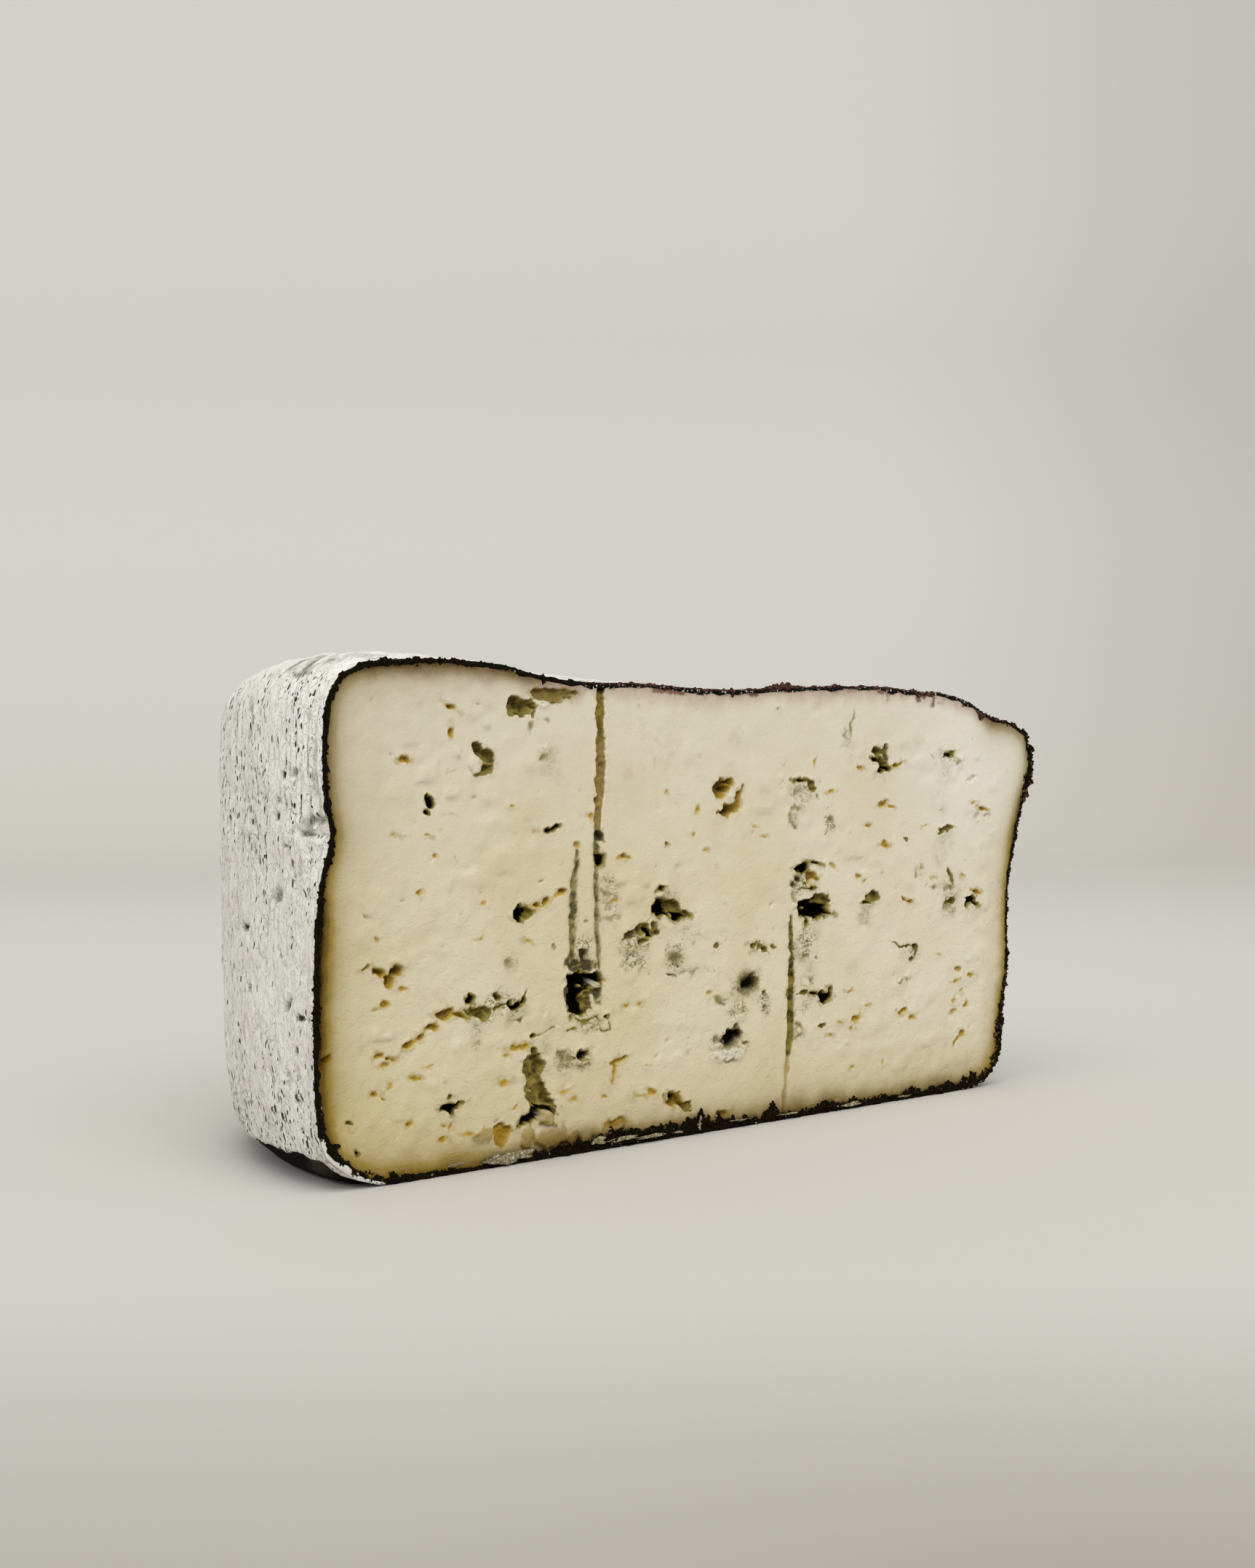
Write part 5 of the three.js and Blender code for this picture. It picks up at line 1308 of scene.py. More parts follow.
# Dark and light tones, mixed by grain; the dark tone of the bloom and of the flakes is painted shade.
BLOOM_AND_SHADE_TONES = (0.22, 0.20, 0.16), (0.62, 0.60, 0.54)
FLAKE_LIT_AND_SHADED_TONES = (0.24, 0.19, 0.10), (0.72, 0.67, 0.53)
CRUMB_ROUGHNESS = 0.9


def crumb_material(name, dark, light, accent=None):
    m = Maker(name, CRUMB_ROUGHNESS, Specular_IOR_Level=0.05)
    where = m.place()
    grain = m.noise(where, 0.7, 3.0)
    m.colour = m.blend(m.step(grain, 0.45, 0.75), dark, light)
    if accent:
        bits = m.step(m.noise(where, 1.1, 3.0), 0.5, 0.68)
        to_the_right = m.step(m.parts(where)[0], 92 * MM, 106 * MM)
        m.coat(bits * to_the_right, accent)
        stained = m.step(m.attribute("purple") + (grain - 0.5) * 0.5, 0.3, 0.8)
        purple = m.blend(m.step(grain, 0.4, 0.7), PURPLE_CRUST, PURPLE_CRUST_PALE)
        m.coat(stained, purple)
    m.feed("Base Color", m.colour)
    m.feed("Normal", m.bump(grain + m.noise(where, 0.3, 2.0) * 0.5, 0.35, 0.8))
    return m.material


PASTE = paste_material()
RIND = rind_material()
CRUST = crumb_material("dark_crust", CRUST_BLACK, CRUST_BROWN, CRUST_BITS)
BLOOM = crumb_material("bloom_flake", *BLOOM_AND_SHADE_TONES)
FLAKE = crumb_material("foot_flake", *FLAKE_LIT_AND_SHADED_TONES)


# ---- the body of paste ----

COLUMNS = 112  # across each half of the face, a millimetre apart
FACE_ROWS = 98
BACK_RINGS = 6
FINER_RIM = 1.8  # how far in from its rim the face is always made finer
FINER_PASSES = ((0.25, 3), (0.62, 2))  # how busy a spot is made finer, and the cells round it
ON_THE_FACE = 1e-6  # a point this near the plane of the cut lies on it
TUCK_DEPTH = 1.2  # how far behind the face the paste has drawn in, clear of the rind
FACE_LIMITS = (-0.9, 11)  # how far the face may stand out, and how deep it may go


def patch_between(foot, roof, west, east):
    """A flat grid of points that fills four edges."""
    u = np.linspace(0, 1, len(foot))[None, :, None]
    v = np.linspace(0, 1, len(west))[:, None, None]
    flat = (1 - v) * foot[None] + v * roof[None] + (1 - u) * west[:, None] + u * east[:, None]
    flat = flat - (1 - u) * (1 - v) * foot[0] - u * (1 - v) * foot[-1]
    return flat - (1 - u) * v * roof[0] - u * v * roof[-1]


def paste_blank(cut, behind, right):
    """The body of paste with a flat face, before anything is opened in it."""
    left_edge = tucked(cut, PASTE_TUCK) * [-1, 1]
    right_edge = tucked(right, PASTE_TUCK)
    side = slice(COLUMNS, COLUMNS + FACE_ROWS + 1)
    foot = np.vstack([left_edge[COLUMNS:0:-1], right_edge[:COLUMNS + 1]])
    roof = np.vstack([left_edge[COLUMNS + FACE_ROWS:], right_edge[-2:COLUMNS + FACE_ROWS - 1:-1]])
    flat = patch_between(foot, roof, left_edge[side], right_edge[side])
    face = stood_up(flat)

    inner = [tucked(o, RIND_THICKNESS + PASTE_GAP) for o in (cut, behind, right)]
    wall = drum(np.linspace(0, math.pi, BACK_RINGS + 1)[1:-1], *inner)
    first, last = stood_up(left_edge), stood_up(right_edge)
    left_tuck = stood_up(inner[0], -1, TUCK_DEPTH)
    right_tuck = stood_up(inner[2], 1, TUCK_DEPTH)
    rings = np.concatenate([first[None], left_tuck[None], wall, right_tuck[None], last[None]])
    rings[:, 0] = first[0]
    rings[:, -1] = first[-1]

    face_numbers = np.arange(face.shape[0] * face.shape[1]).reshape(face.shape[:2])
    ring_numbers = face_numbers.size + np.arange(rings.shape[0] * rings.shape[1])
    ring_numbers = ring_numbers.reshape(rings.shape[:2])
    points = np.vstack([face.reshape(-1, 3), rings.reshape(-1, 3)])
    bm = filled_bmesh(points, np.vstack([grid_faces(face_numbers), grid_faces(ring_numbers)]))
    bmesh.ops.recalc_face_normals(bm, faces=bm.faces[:])
    return bm


def paste_piece(face):
    cut, behind, right = (half_outline(o, COLUMNS, FACE_ROWS, COLUMNS) for o in OUTLINES)
    bm = paste_blank(cut, behind, right)
    outline = np.vstack([cut * [-1, 1], right[::-1]])
    for k, (busy, cells) in enumerate(FINER_PASSES):
        at = coordinates(bm)
        front = at[:, 1] < ON_THE_FACE
        detail = np.zeros(len(at), bool)
        x, z = at[front, 0], at[front, 2]
        detail[front] = face.at(face.widened(face.busy, cells), x, z) > busy
        if k == 0:
            detail[front] |= rim_distance(x, z, outline) < FINER_RIM
        bm.verts.index_update()
        edges = [e for e in bm.edges if detail[e.verts[0].index] and detail[e.verts[1].index]]
        bmesh.ops.subdivide_edges(bm, edges=edges, cuts=1, use_grid_fill=True)
    bmesh.ops.triangulate(bm, faces=[f for f in bm.faces if len(f.verts) > 4])

    at = coordinates(bm)
    front = at[:, 1] < ON_THE_FACE
    x, z = at[front, 0], at[front, 2]
    edge = rim_distance(x, z, outline)
    marks = {name: face.at(values, x, z) for name, values in face.layer.items()}
    marks.update(rim_marks(x, z, edge))
    crumble = 0.35 * ROUGH(x / 1.1, z / 1.1, 21.5) + 0.2 * ROUGH(x / 0.5, z / 0.5, 22.5)
    depth = face.at(face.depth, x, z) * (0.25 + 0.75 * smooth(0.7, 2.4, edge))
    depth = depth + crumble * smooth(2.2, 0.9, marks["band"]) * smooth(0.5, 1.2, edge)
    at[front, 1] = np.clip(depth, *FACE_LIMITS)
    at = to_frame(at)
    for vertex, place in zip(bm.verts, at.tolist()):
        vertex.co = place
    made = mesh_object("paste", bm, PASTE)
    for name, values in marks.items():
        whole = np.zeros(len(at))
        whole[front] = values
        paint(made, name, whole)
    return made


# ---- the rind ----

NEAR_CUT = 62  # the arc beside each end of the cut where the wall is made finest
ARC_SPACINGS = (0.45, 1.1, 0.8)  # left, behind and right
RIND_STEPS = (14, 148, 38)
INNER_RINGS = 20
LIP = [(0.1, 0.12), (0.45, -0.06), (0.95, -0.02), (1.3, 0.5)]  # (tuck, distance behind the face)
WALL_RADIUS = 117  # arcs are measured along the wall at this reach
WALL_START = 0.3  # how far behind the face the wall starts
GROOVE_SPACING = 2.3
UNDERSIDE_EDGE = 5.9  # how high the dark underside reaches at the foot; its dark is partly a darker rind and partly painted shade
UNDERSIDE_REACH = (88, 97)  # from the flat of the base to the underside, from the axis
BARE_LIP_X, BARE_LIP_Z = (-101, -106), (12, 8)  # from no white edge to all of it
DENT_DEEPER = 1.5  # multiplies the depths of the dents
DENT_SHADE_GAIN = 1.15  # multiplies their painted shade
FAR_SIDE = (120, 150)  # the arc from which the dents are repeated, turned about
BACK_DENTS = 185  # the arc at the middle of the back, where they start again
WORN_REACH = (90, 102)  # the worn grey of the shoulder starts between these, from the axis
WHOLE_WALL = math.pi * WALL_RADIUS
RIND_MERGED_WITHIN = 2e-8  # metres, since its points crowd together at the poles


def bare_lip(x, z):
    """Low on the left the crust is gone, and the white edge of the rind shows."""
    return smooth(*BARE_LIP_X, x) * smooth(*BARE_LIP_Z, z)


def dents(arc, height):
    """Depth in millimetres of the dents in the wall, and the painted shade in them."""
    depth, grey = np.zeros(arc.shape), np.zeros(arc.shape)
    rough = 0.3 * ROUGH(arc / 1.4, height / 1.4, 9.1)
    for along, up, width, tall, deep, shade_and_wear in RIND_DENTS:
        far = np.hypot((arc - along) * 2 / width, (height - up) * 2 / tall) + rough
        depth = np.maximum(depth, DENT_DEEPER * deep * smooth(1.35, 0.2, far))
        grey = np.maximum(grey, DENT_SHADE_GAIN * shade_and_wear * smooth(1.4, 0.35, far))
    return depth, grey


def wall_angles():
    stops = (0, NEAR_CUT, WHOLE_WALL - NEAR_CUT, WHOLE_WALL)
    runs = [np.linspace(a, b, round((b - a) / step), endpoint=False)
            for a, b, step in zip(stops, stops[1:], ARC_SPACINGS)]
    return np.concatenate([*runs, [WHOLE_WALL]]) / WALL_RADIUS


def rind_relief(arc, x, y, z, level):
    """How far the wall stands out, in millimetres; how hollow it is, which is painted as shade; and
    where its grooves run.
    """
    near = smooth(30, 6, arc) + 0.6 * smooth(30, 6, WHOLE_WALL - arc)
    waves = ROUGH(arc / 8, z / 26, 6.5) * 2.0 + 0.6 * ROUGH(arc / 3, z / 9, 6.9)
    grooves = np.sin(2 * math.pi * arc / GROOVE_SPACING + waves) * (1 - smooth(0.55, 0.95, level))
    grooves = grooves * near * smooth(50, 78, z) * (0.75 + 0.4 * ROUGH(arc / 9, z / 12, 2.8))
    creased = smooth(0.22, 0.0, np.abs(ROUGH(arc / 2.4, z / 8.5, 8.8)))
    creased = creased * smooth(-0.3, 0.4, ROUGH(arc / 5, z / 9, 9.9))
    crinkle = ROUGH(arc / 1.25, z / 3.6, 4.6)
    pebbled = ROUGH(arc / 1.0, z / 1.9, 5.6)
    on_lid = smooth(0.75, 0.97, level)
    creased = creased + on_lid * (smooth(0.2, 0.0, np.abs(ROUGH(x / 9, y / 4, 8.8))) - creased)
    crinkle = crinkle + on_lid * (ROUGH(x / 2.6, y / 2.6, 4.6) - crinkle)
    pebbled = pebbled + on_lid * (ROUGH(x / 1.7, y / 1.7, 5.6) - pebbled)
    relief = 0.32 * grooves - 0.22 * creased + 0.1 * crinkle + 0.09 * pebbled
    relief = relief + 0.22 * ROUGH(x / 6, y / 6, z / 7) + 0.13 * ROUGH(x / 2.4, y / 2.4, z / 3.4)
    hollow = 0.5 * np.clip(-grooves, 0, 1) + 0.8 * creased - 0.45 * crinkle - 0.35 * pebbled
    deepest = smooth(-0.5, -1.0, grooves) * smooth(-0.4, 0.5, ROUGH(arc / 1.5, z / 5, 1.6))
    return relief, np.clip(hollow, 0, 1), deepest


def rind_lips(outline, side):
    """The rind's torn edge, from the wall across the cut to its inner side."""
    rows = []
    for tuck, back in LIP:
        row = tucked(outline, tuck)
        nibble = 0.4 * ROUGH(row[:, 0] * side / 1.5, row[:, 1] / 1.5, tuck)
        nibble = nibble + 0.25 * ROUGH(row[:, 0] * side / 0.8, row[:, 1] / 0.8, tuck * 2)
        row = tucked(outline, np.maximum(tuck * (1 + nibble[:, None]), 0.02))
        row[:, 1] = np.maximum(row[:, 1], 0)
        if 0.1 < tuck < 1:
            tufts = ROUGH(row[:, 0] * side / 1.1, row[:, 1] / 1.1, 8.4)
            back = back - 0.3 * smooth(-0.2, 0.6, tufts)
        rows.append(stood_up(row, side, back))
    return rows


def rind_piece():
    cut, behind, right = (half_outline(o, *RIND_STEPS, crowding=2) for o in OUTLINES)
    angles = wall_angles()
    outer = drum(angles, cut, behind, right)
    x, y, z = np.moveaxis(outer, -1, 0)
    reach = np.hypot(x, y)
    run = np.cumsum(np.linalg.norm(np.diff(outer, axis=1, prepend=outer[:, :1]), axis=2), axis=1)
    arc = np.broadcast_to(angles[:, None] * WALL_RADIUS, run.shape)

    along = np.stack([np.gradient(reach, axis=1), np.gradient(z, axis=1)], -1)
    along = along / np.maximum(np.linalg.norm(along, axis=-1, keepdims=True), 1e-9)
    normal_out, normal_up = along[..., 1], -along[..., 0]
    level = np.abs(normal_up)
    sunk, shade_and_wear = dents(arc, z)
    right_sunk, right_dent_shade = dents((WHOLE_WALL - arc) * 0.93 + 9, 103 - z * 0.96)
    back_sunk, back_dent_shade = dents(np.abs(arc - BACK_DENTS) * 0.9 + 1, z * 0.97 + 2)
    far_side = smooth(*FAR_SIDE, arc)
    sunk = sunk + (right_sunk + back_sunk) * far_side
    shade_and_wear = np.maximum(shade_and_wear, np.maximum(right_dent_shade, back_dent_shade) * far_side)

    relief, hollow, groove = rind_relief(arc, x, y, z, level)
    dark_below = UNDERSIDE_EDGE * (1 - 0.85 * smooth(5.5, 0.8, arc))
    dark_below = dark_below + 0.5 * ROUGH(arc / 2.2, 0.3, 3.7)
    foot = smooth(dark_below + 0.4, dark_below - 0.4, z) * smooth(*UNDERSIDE_REACH, reach)
    folds = np.sin(arc / 4.4 + reach * 0.55 + 1.4 * ROUGH(arc / 16, reach / 9, 2.2))
    folds = folds * smooth(0.2, 3, z)
    relief = relief * (1 - foot) + (0.45 * folds - 0.7) * foot - sunk
    relief = relief * smooth(-1.0, 3.0, y) * smooth(0.02, 0.6, z)
    from_axis = np.maximum(reach, 1e-6)
    out = np.stack([x / from_axis * normal_out, y / from_axis * normal_out, normal_up], -1)
    outer = outer + out * relief[..., None]
    outer[[0, -1], :, 1] = WALL_START
    outer[..., 2] = np.maximum(outer[..., 2], 0)
    outer[:, 0] = (0, WALL_START, 0)
    outer[:, -1] = (0, WALL_START, cut[-1, 1])

    left_lips, right_lips = rind_lips(cut, -1), rind_lips(right, 1)
    for left_row, right_row in zip(left_lips, right_lips):
        left_row[[0, -1]] = (left_row[[0, -1]] + right_row[[0, -1]]) / 2
        right_row[[0, -1]] = left_row[[0, -1]]
    inner_lines = [tucked(o, RIND_THICKNESS) for o in (cut, behind, right)]
    inner = drum(np.linspace(math.pi, 0, INNER_RINGS + 1)[1:-1], *inner_lines)
    ceiling = cut[-1, 1] - RIND_THICKNESS
    inner[:, [0, -1]] = [(0, RIND_THICKNESS, RIND_THICKNESS), (0, RIND_THICKNESS, ceiling)]
    loop = np.concatenate([outer, np.array(right_lips), inner, np.array(left_lips[::-1])])

    shoulder_far = np.hypot((arc - GREY_SHOULDER[0]) * 2 / GREY_SHOULDER[2],
                            (z - GREY_SHOULDER[1]) * 2 / GREY_SHOULDER[3])
    worn = 0.85 * smooth(1.4, 0.3, shoulder_far + 0.5 * ROUGH(arc / 2, z / 1.2, 3.3))
    worn = worn * smooth(*WORN_REACH, reach)
    lid = smooth(0.6, 0.9, level) * smooth(40, 60, z)
    low = smooth(22, 9, z) * smooth(1, 5, z) - 0.55 * smooth(22, 32, z) * smooth(70, 60, z)
    rows, columns = loop.shape[:2]
    across, up = loop[..., 0], loop[..., 2]
    behind = np.where(np.arange(rows)[:, None] < len(outer), loop[..., 1], -0.3)
    behind = behind + 2 * bare_lip(across, up)
    thin_above = smooth(-60, -48, across) * smooth(108, 100, across) * smooth(94, 98, up)
    behind = behind + 0.4 * thin_above
    tags = {"shade_and_wear": np.maximum(shade_and_wear, worn), "lid": lid, "foot": foot, "fold": 0.5 + 0.5 * folds,
            "low": low, "hollow": hollow, "behind": behind, "groove": groove}
    numbers = np.arange(rows * columns).reshape(rows, columns)
    bm = bmesh.new()
    layers = {name: bm.verts.layers.float.new(name) for name in tags}
    wrap_layer = bm.verts.layers.float_vector.new("wrap")
    corners = [bm.verts.new(p) for p in to_frame(loop.reshape(-1, 3)).tolist()]
    for name, values in tags.items():
        for corner, value in zip(corners, values.ravel().tolist()):
            corner[layers[name]] = value
    wrap = np.stack([arc * MM, run * MM, arc * 0], -1).reshape(-1, 3)
    for corner, value in zip(corners, wrap.tolist()):
        corner[wrap_layer] = value
    for quad in grid_faces(numbers, close_rows=True).tolist():
        bm.faces.new([corners[k] for k in quad])
    bmesh.ops.remove_doubles(bm, verts=bm.verts[:], dist=RIND_MERGED_WITHIN)
    bmesh.ops.recalc_face_normals(bm, faces=bm.faces[:])
    return mesh_object("rind", bm, RIND)


# ---- the crust that runs round the cut, and what clings to it ----

RING_STEP = 0.36
RING_SIDES = 14


def cut_outline():
    """The whole outline of the cut as one closed line of evenly spaced points."""
    counts = (FINE_STEPS,) * 3
    cut, right = (half_outline(o, *counts) for o in (LEFT_CUT, RIGHT))
    whole = np.vstack([right, cut[-2::-1] * [-1, 1]])
    length = np.linalg.norm(np.diff(whole, axis=0), axis=1).sum()
    return even(whole, round(length / RING_STEP))[:-1]


def crust_piece():
    line = cut_outline()
    x, z = line[:, 0], line[:, 1]
    along = np.roll(line, -1, axis=0) - np.roll(line, 1, axis=0)
    along = along / np.linalg.norm(along, axis=1, keepdims=True)
    inwards = np.stack([-along[:, 1], along[:, 0]], -1)
    width = crust_width(x, z)
    top = smooth(92, 100, z)
    outwards = 0
    for middle, half, extra in CRUST_SWELLS:
        swollen = top * np.exp(-((x - middle) / half) ** 2)
        width = width + abs(extra) * swollen
        outwards = outwards + max(-extra, 0) * swollen
    turns = np.linspace(0, 2 * math.pi, RING_SIDES, endpoint=False)
    run = np.arange(len(line)) * RING_STEP
    c, s = np.cos(turns)[None], np.sin(turns)[None]
    bumpy = 0.42 * ROUGH(run[:, None] / 1.2, c * 1.1 + 7, s * 1.1)
    bumpy = bumpy + 0.34 * ROUGH(run[:, None] / 0.6, c * 1.9 + 17, s * 1.9)
    right_side = smooth(104, 110, x)[:, None]
    bumpy = 1 + bumpy * (1 + 0.5 * right_side)
    shoulder = 1.3 * smooth(74, 81, z) * smooth(97, 93, z) * (x > 0)
    shoulder = shoulder * (1 + 0.4 * ROUGH(x / 2.2, z / 2.2, 15.5))
    width, outwards = width + shoulder, outwards + shoulder
    half_wide = (width / 2 + 0.12)[:, None]
    half_deep = 0.22 + 0.13 * width[:, None]
    wander = 0.25 * ROUGH(run / 1.7, 3.5, 5.5) + 0.9 * bare_lip(x, z) - outwards * 0.75
    inward = (width / 2 + 0.15 + wander)[:, None] + half_wide * c * bumpy
    back = 0.2 - half_deep * s * bumpy
    points = np.empty((len(line), RING_SIDES, 3))
    points[..., 0] = x[:, None] + inwards[:, 0:1] * inward
    points[..., 1] = back
    points[..., 2] = np.maximum(z[:, None] + inwards[:, 1:2] * inward, 0.02)
    numbers = np.arange(points.shape[0] * RING_SIDES).reshape(points.shape[:2])
    bm = filled_bmesh(to_frame(points.reshape(-1, 3)),
                      grid_faces(numbers, close_rows=True, close_columns=True))
    bmesh.ops.recalc_face_normals(bm, faces=bm.faces[:])
    at = coordinates(bm) / MM - [AXIS_X, FACE_Y, 0]
    made = mesh_object("cut_crust", bm, CRUST)
    foot = smooth(6, 2.5, at[:, 2])
    upper = smooth(92, 100, at[:, 2]) * smooth(-50, -40, at[:, 0]) * smooth(112, 106, at[:, 0])
    to_the_right = smooth(100, 108, at[:, 0])
    outside = smooth(0.8, -0.2, at[:, 1])
    paint(made, "purple", upper)
    paint(made, "crumbly", np.clip(0.35 + to_the_right + 0.4 * foot - 0.25 * upper, 0, 1) * outside)
    paint(made, "floury", np.clip(0.06 + 0.3 * foot - 0.05 * to_the_right, 0, 1) * outside)
    return made


def crumb_tree(name, material, density_from):
    """Nodes that strew small rough lumps over a mesh, as thick as an attribute of it says."""
    tree = bpy.data.node_groups.new(name, "GeometryNodeTree")
    tree.interface.new_socket("Geometry", in_out="INPUT", socket_type="NodeSocketGeometry")
    for label in ("Density", "Smallest", "Largest", "Flatness"):
        tree.interface.new_socket(label, in_out="INPUT", socket_type="NodeSocketFloat")
    tree.interface.new_socket("Seed", in_out="INPUT", socket_type="NodeSocketInt")
    tree.interface.new_socket("Geometry", in_out="OUTPUT", socket_type="NodeSocketGeometry")

    def add(kind, settings=(), **inputs):
        node = tree.nodes.new(kind)
        for key, value in dict(settings).items():
            setattr(node, key, value)
        for key, value in inputs.items():
            socket = node.inputs[key.replace("_", " ")]
            if isinstance(value, bpy.types.NodeSocket):
                tree.links.new(value, socket)
            else:
                socket.default_value = value
        return node

    given = add("NodeGroupInput").outputs
    thick = add("GeometryNodeInputNamedAttribute", {"data_type": "FLOAT"}, Name=density_from)
    density = add("ShaderNodeMath", {"operation": "MULTIPLY"})
    tree.links.new(thick.outputs["Attribute"], density.inputs[0])
    tree.links.new(given["Density"], density.inputs[1])
    points = add("GeometryNodeDistributePointsOnFaces", Mesh=given["Geometry"],
                 Density=density.outputs[0], Seed=given["Seed"])
    lump = add("GeometryNodeMeshIcoSphere", Radius=1.0, Subdivisions=1)
    uneven = add("ShaderNodeTexNoise", Scale=1.7, Detail=1.0)
    centred = add("ShaderNodeVectorMath", {"operation": "SUBTRACT"})
    tree.links.new(uneven.outputs["Color"], centred.inputs[0])
    centred.inputs[1].default_value = (0.5, 0.5, 0.5)
    pushed = add("ShaderNodeVectorMath", {"operation": "SCALE"}, Vector=centred.outputs[0], Scale=1.6)
    rough_lump = add("GeometryNodeSetPosition", Geometry=lump.outputs[0], Offset=pushed.outputs[0])
    turn = add("FunctionNodeRandomValue", {"data_type": "FLOAT_VECTOR"})
    turn.inputs["Max"].default_value = (2 * math.pi,) * 3
    size = add("FunctionNodeRandomValue", {"data_type": "FLOAT"}, Seed=given["Seed"])
    tree.links.new(given["Smallest"], next(s for s in size.inputs if s.identifier == "Min_001"))
    tree.links.new(given["Largest"], next(s for s in size.inputs if s.identifier == "Max_001"))
    drawn = next(s for s in size.outputs if s.identifier == "Value_001")
    flat = add("ShaderNodeMath", {"operation": "MULTIPLY"})
    tree.links.new(drawn, flat.inputs[0])
    tree.links.new(given["Flatness"], flat.inputs[1])
    scale = add("ShaderNodeCombineXYZ", X=drawn, Y=drawn, Z=flat.outputs[0])
    strewn = add("GeometryNodeInstanceOnPoints", Points=points.outputs["Points"],
                 Instance=rough_lump.outputs[0], Rotation=turn.outputs[0], Scale=scale.outputs[0])
    real = add("GeometryNodeRealizeInstances", Geometry=strewn.outputs[0])
    finished = add("GeometryNodeSetMaterial", Geometry=real.outputs[0], Material=material)
    add("NodeGroupOutput", Geometry=finished.outputs[0])
    return tree


def strewn_piece(name, over, tree, **sizes):
    """The lumps that a tree strews over a piece, as a plain mesh of their own."""
    holder = added(name + "_source", over.data)
    modifier = holder.modifiers.new(name, "NODES")
    modifier.node_group = tree
    identifiers = {s.name: s.identifier for s in tree.interface.items_tree if s.in_out == "INPUT"}
    for label, value in sizes.items():
        modifier[identifiers[label]] = value
    evaluated = holder.evaluated_get(bpy.context.evaluated_depsgraph_get())
    mesh = bpy.data.meshes.new_from_object(evaluated)
    bpy.data.objects.remove(holder)
    mesh.name = name
    at = np.empty(len(mesh.vertices) * 3)
    mesh.vertices.foreach_get("co", at)
    at = at.reshape(-1, 3)
    at[:, 2] = np.maximum(at[:, 2], 0)
    mesh.vertices.foreach_set("co", at.ravel())
    return added(name, mesh)


FLAKE_RINGS = 5
FLAKE_SIDES = 28
FLAKE_IN_FRONT = 0.65  # how far in front of the face a flake lies
FLAKE_HALF_THICKNESS = 0.16
FLAKE_MERGED_WITHIN = 1e-6


def flakes_piece():
    """Thin pale flakes that lie against the crust at the foot of the cut."""
    bm = bmesh.new()
    turns = np.linspace(0, 2 * math.pi, FLAKE_SIDES, endpoint=False)
    for k, (middle_x, middle_z, length, height) in enumerate(FOOT_FLAKES):
        edge = 1 + 0.3 * ROUGH(np.cos(turns) * 2.2, np.sin(turns) * 2.2, 50 + 3 * k)
        sheets = []
        for side in (-1, 1):
            sheet = []
            for ring in range(FLAKE_RINGS + 1):
                share = ring / FLAKE_RINGS
                out_x = middle_x + share * edge * np.cos(turns) * length / 2
                out_z = middle_z + share * edge * np.sin(turns) * height / 2
                bulge = 0.32 * ROUGH(out_x / 1.3, out_z / 0.9, k) - 0.35
                thick = side * FLAKE_HALF_THICKNESS * (1 - share ** 2)
                back = bulge - FLAKE_IN_FRONT + thick
                sheet.append(np.stack([out_x, back, np.maximum(out_z, 0.03)], -1))
            sheets.append(sheet)
        for sheet in sheets:
            middle = bm.verts.new(to_frame(sheet[0][0]).tolist())
            rows = [[bm.verts.new(p) for p in to_frame(row).tolist()] for row in sheet[1:]]
            for j in range(FLAKE_SIDES):
                following = (j + 1) % FLAKE_SIDES
                bm.faces.new((middle, rows[0][j], rows[0][following]))
                for near, far in zip(rows, rows[1:]):
                    bm.faces.new((near[j], far[j], far[following], near[following]))
    bmesh.ops.remove_doubles(bm, verts=bm.verts[:], dist=FLAKE_MERGED_WITHIN)
    bmesh.ops.recalc_face_normals(bm, faces=bm.faces[:])
    return mesh_object("foot_flakes", bm, FLAKE)


paste = paste_piece(laid_open())
rind = rind_piece()
crust = crust_piece()
crumbs = strewn_piece("crust_crumbs", crust, crumb_tree("crust_crumbs", CRUST, "crumbly"),
                      Density=3.4e6, Smallest=0.12 * MM, Largest=0.38 * MM, Flatness=0.8, Seed=5)
bloom = strewn_piece("bloom_crumbs", crust, crumb_tree("bloom_crumbs", BLOOM, "floury"),
                     Density=0.35e6, Smallest=0.1 * MM, Largest=0.32 * MM, Flatness=0.35, Seed=9)
flakes = flakes_piece()

for piece, slot in ((paste, "paste"), (rind, "rind"), (crust, "crust"), (crumbs, "crust"),
                    (bloom, "rind"), (flakes, "rind")):
    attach(piece, "root")
    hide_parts("cheese")

# ---- the stage, the lights and the camera ----

FOCAL = 46.75
SENSOR_WIDTH = 36
CLIP_START, CLIP_END = 0.01, 50
CAMERA_AT = (-353.5, -322.5, 76.0)  # in the wheel's frame
CAMERA_YAW = math.radians(44.78)
CAMERA_PITCH = math.radians(0.573)
FORWARD = np.array([math.sin(CAMERA_YAW), math.cos(CAMERA_YAW)])  # along the floor from the camera
SIDEWAYS = np.array([FORWARD[1], -FORWARD[0]])

STAGE_ROUGHNESS = 0.9
FLOOR_SIZE = 6.0
FLOOR_BACK = 2.2
SWEEP_RADIUS = 0.9
SWEEP_HEIGHT = 3.0
FLOOR_COLOUR = (0.675, 0.66, 0.62)
WALL_COLOUR = (0.735, 0.73, 0.71)
PAINTED_STAGE_SHADE = (0.565, 0.545, 0.52)

SUN_SPREAD = math.radians(70)
SUN_STRENGTH = 1.35
SUN_FROM = (-0.45, -0.42, 0.79)
SKY_COLOUR = (1.0, 0.99, 0.97)
SKY_STRENGTH = 0.62


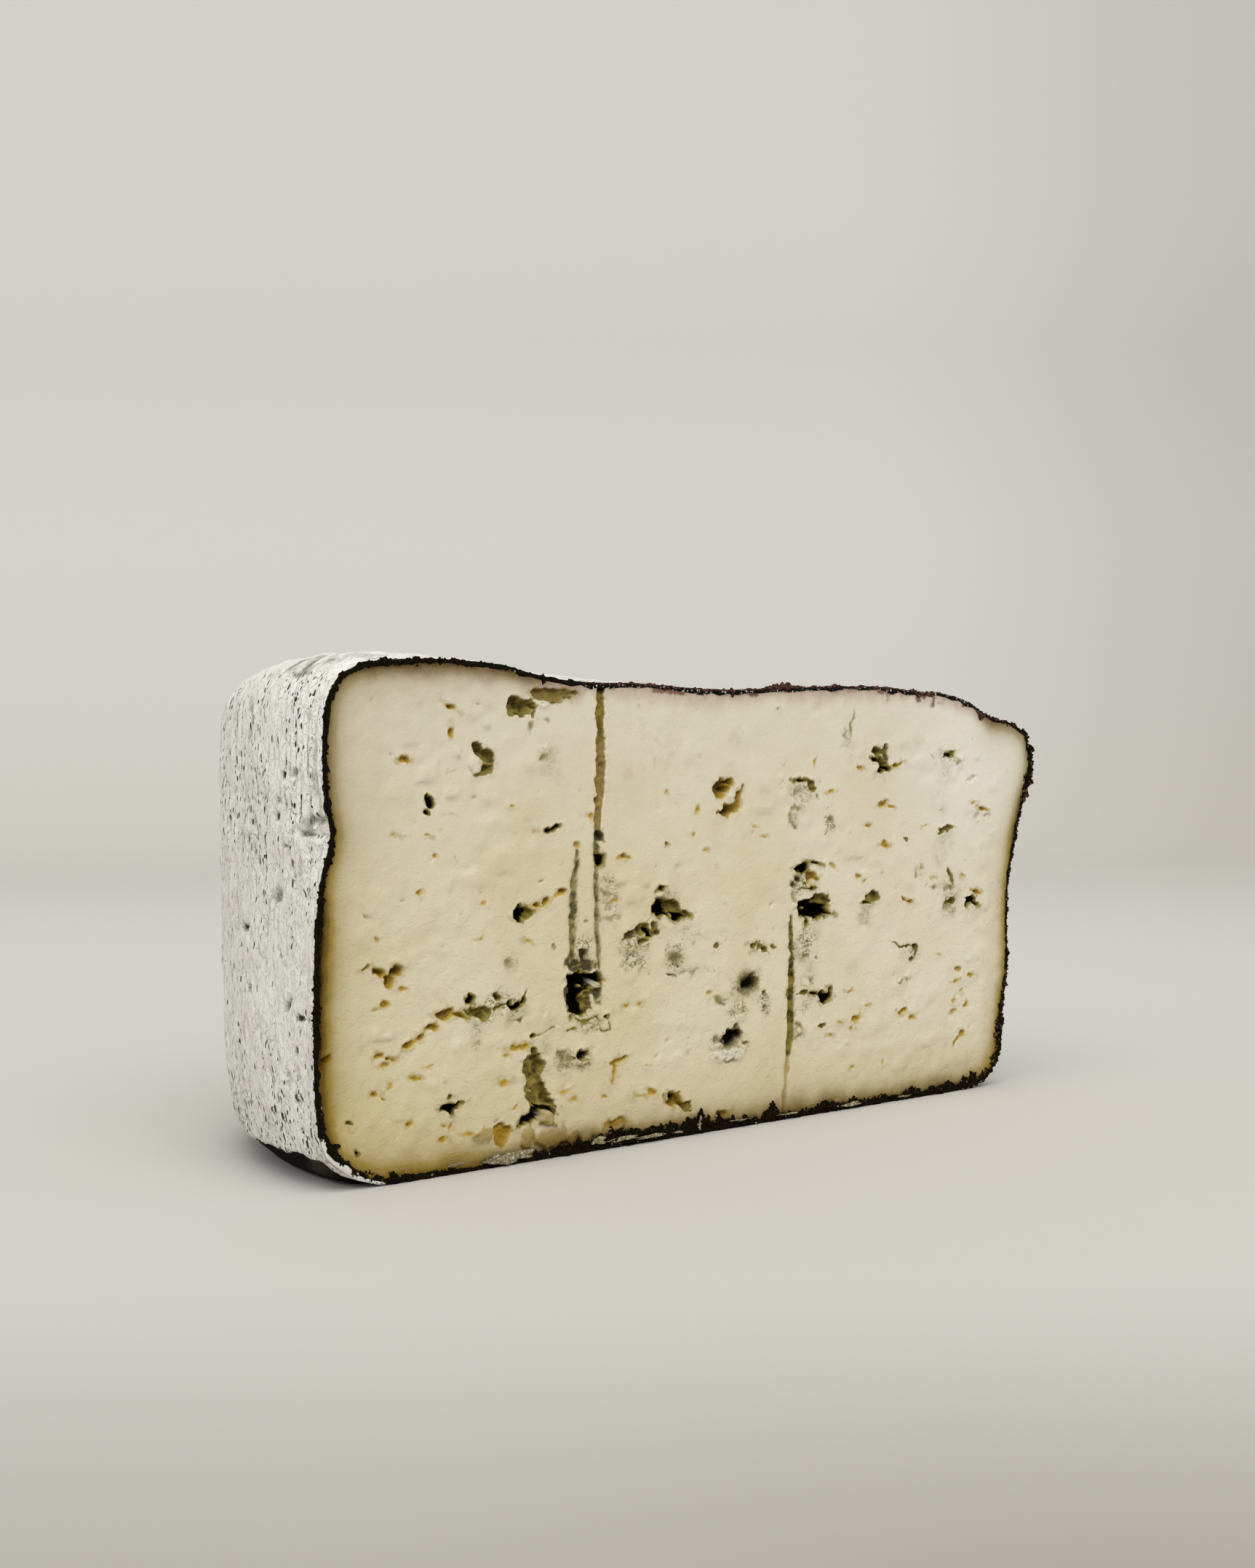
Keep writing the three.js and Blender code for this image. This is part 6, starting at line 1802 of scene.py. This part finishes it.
def stage_material():
    """A pale grey with painted shade, dimmer in front and to one side of the object. Places are in
    metres.
    """
    m = Maker("pale_stage", STAGE_ROUGHNESS)
    x, y, up = m.parts(m.place())
    back = x * float(FORWARD[0]) + y * float(FORWARD[1])
    side = x * float(SIDEWAYS[0]) + y * float(SIDEWAYS[1])
    m.colour = m.blend(m.step(up, 0.02, 0.6), FLOOR_COLOUR, WALL_COLOUR)
    # Painted shade: darker in front, beside the object, and far back, lower down.
    in_front = m.step(back, -0.19, -0.36)
    beside = m.step(side - m.step(back, 0.0, 2.0) * 0.3, 0.08, 0.9)
    behind = m.step(back, 0.3, 1.6) * m.step(up, 1.2, 0.3)
    near_side = m.step(side, -0.02, 0.07) * in_front
    stage_shade = in_front * 0.68 + near_side * 0.22 + beside * 0.36 + behind * 0.29
    m.coat(stage_shade.clamped(), PAINTED_STAGE_SHADE, "MULTIPLY")
    m.feed("Base Color", m.colour)
    return m.material


def stage_piece():
    """A pale sheet that lies flat and curves up behind the object."""
    profile = [(-FLOOR_SIZE / 2, 0)]
    profile += [(FLOOR_BACK + SWEEP_RADIUS * math.sin(a), SWEEP_RADIUS * (1 - math.cos(a)))
                for a in np.linspace(0, math.pi / 2, 17)]
    profile.append((FLOOR_BACK + SWEEP_RADIUS, SWEEP_HEIGHT))
    bm = bmesh.new()
    rows = []
    for along, up in profile:
        ends = [FORWARD * along + SIDEWAYS * side * FLOOR_SIZE for side in (-1, 1)]
        rows.append([bm.verts.new((e[0], e[1], up)) for e in ends])
    for near, far in zip(rows, rows[1:]):
        bm.faces.new((near[0], near[1], far[1], far[0]))
    return mesh_object("stage", bm, stage_material())


camera = added("camera", bpy.data.cameras.new("camera"))
camera.data.lens = FOCAL
camera.data.sensor_width = SENSOR_WIDTH
camera.data.clip_start = CLIP_START
camera.data.clip_end = CLIP_END
camera.location = to_frame(CAMERA_AT)
camera.rotation_euler = (math.pi / 2 + CAMERA_PITCH, 0, -CAMERA_YAW)
bpy.context.scene.camera = camera

stage_piece()

sun = bpy.data.lights.new("soft_sun", "SUN")
sun.angle = SUN_SPREAD
sun.energy = SUN_STRENGTH
sun_object = added("soft_sun", sun)
sun_object.rotation_euler = Vector(SUN_FROM).to_track_quat("Z", "Y").to_euler()

world = bpy.data.worlds.new("studio")
world.use_nodes = True
sky = world.node_tree.nodes["Background"]
sky.inputs["Color"].default_value = (*SKY_COLOUR, 1)
sky.inputs["Strength"].default_value = SKY_STRENGTH
bpy.context.scene.world = world
bpy.context.scene.view_settings.view_transform = "Standard"
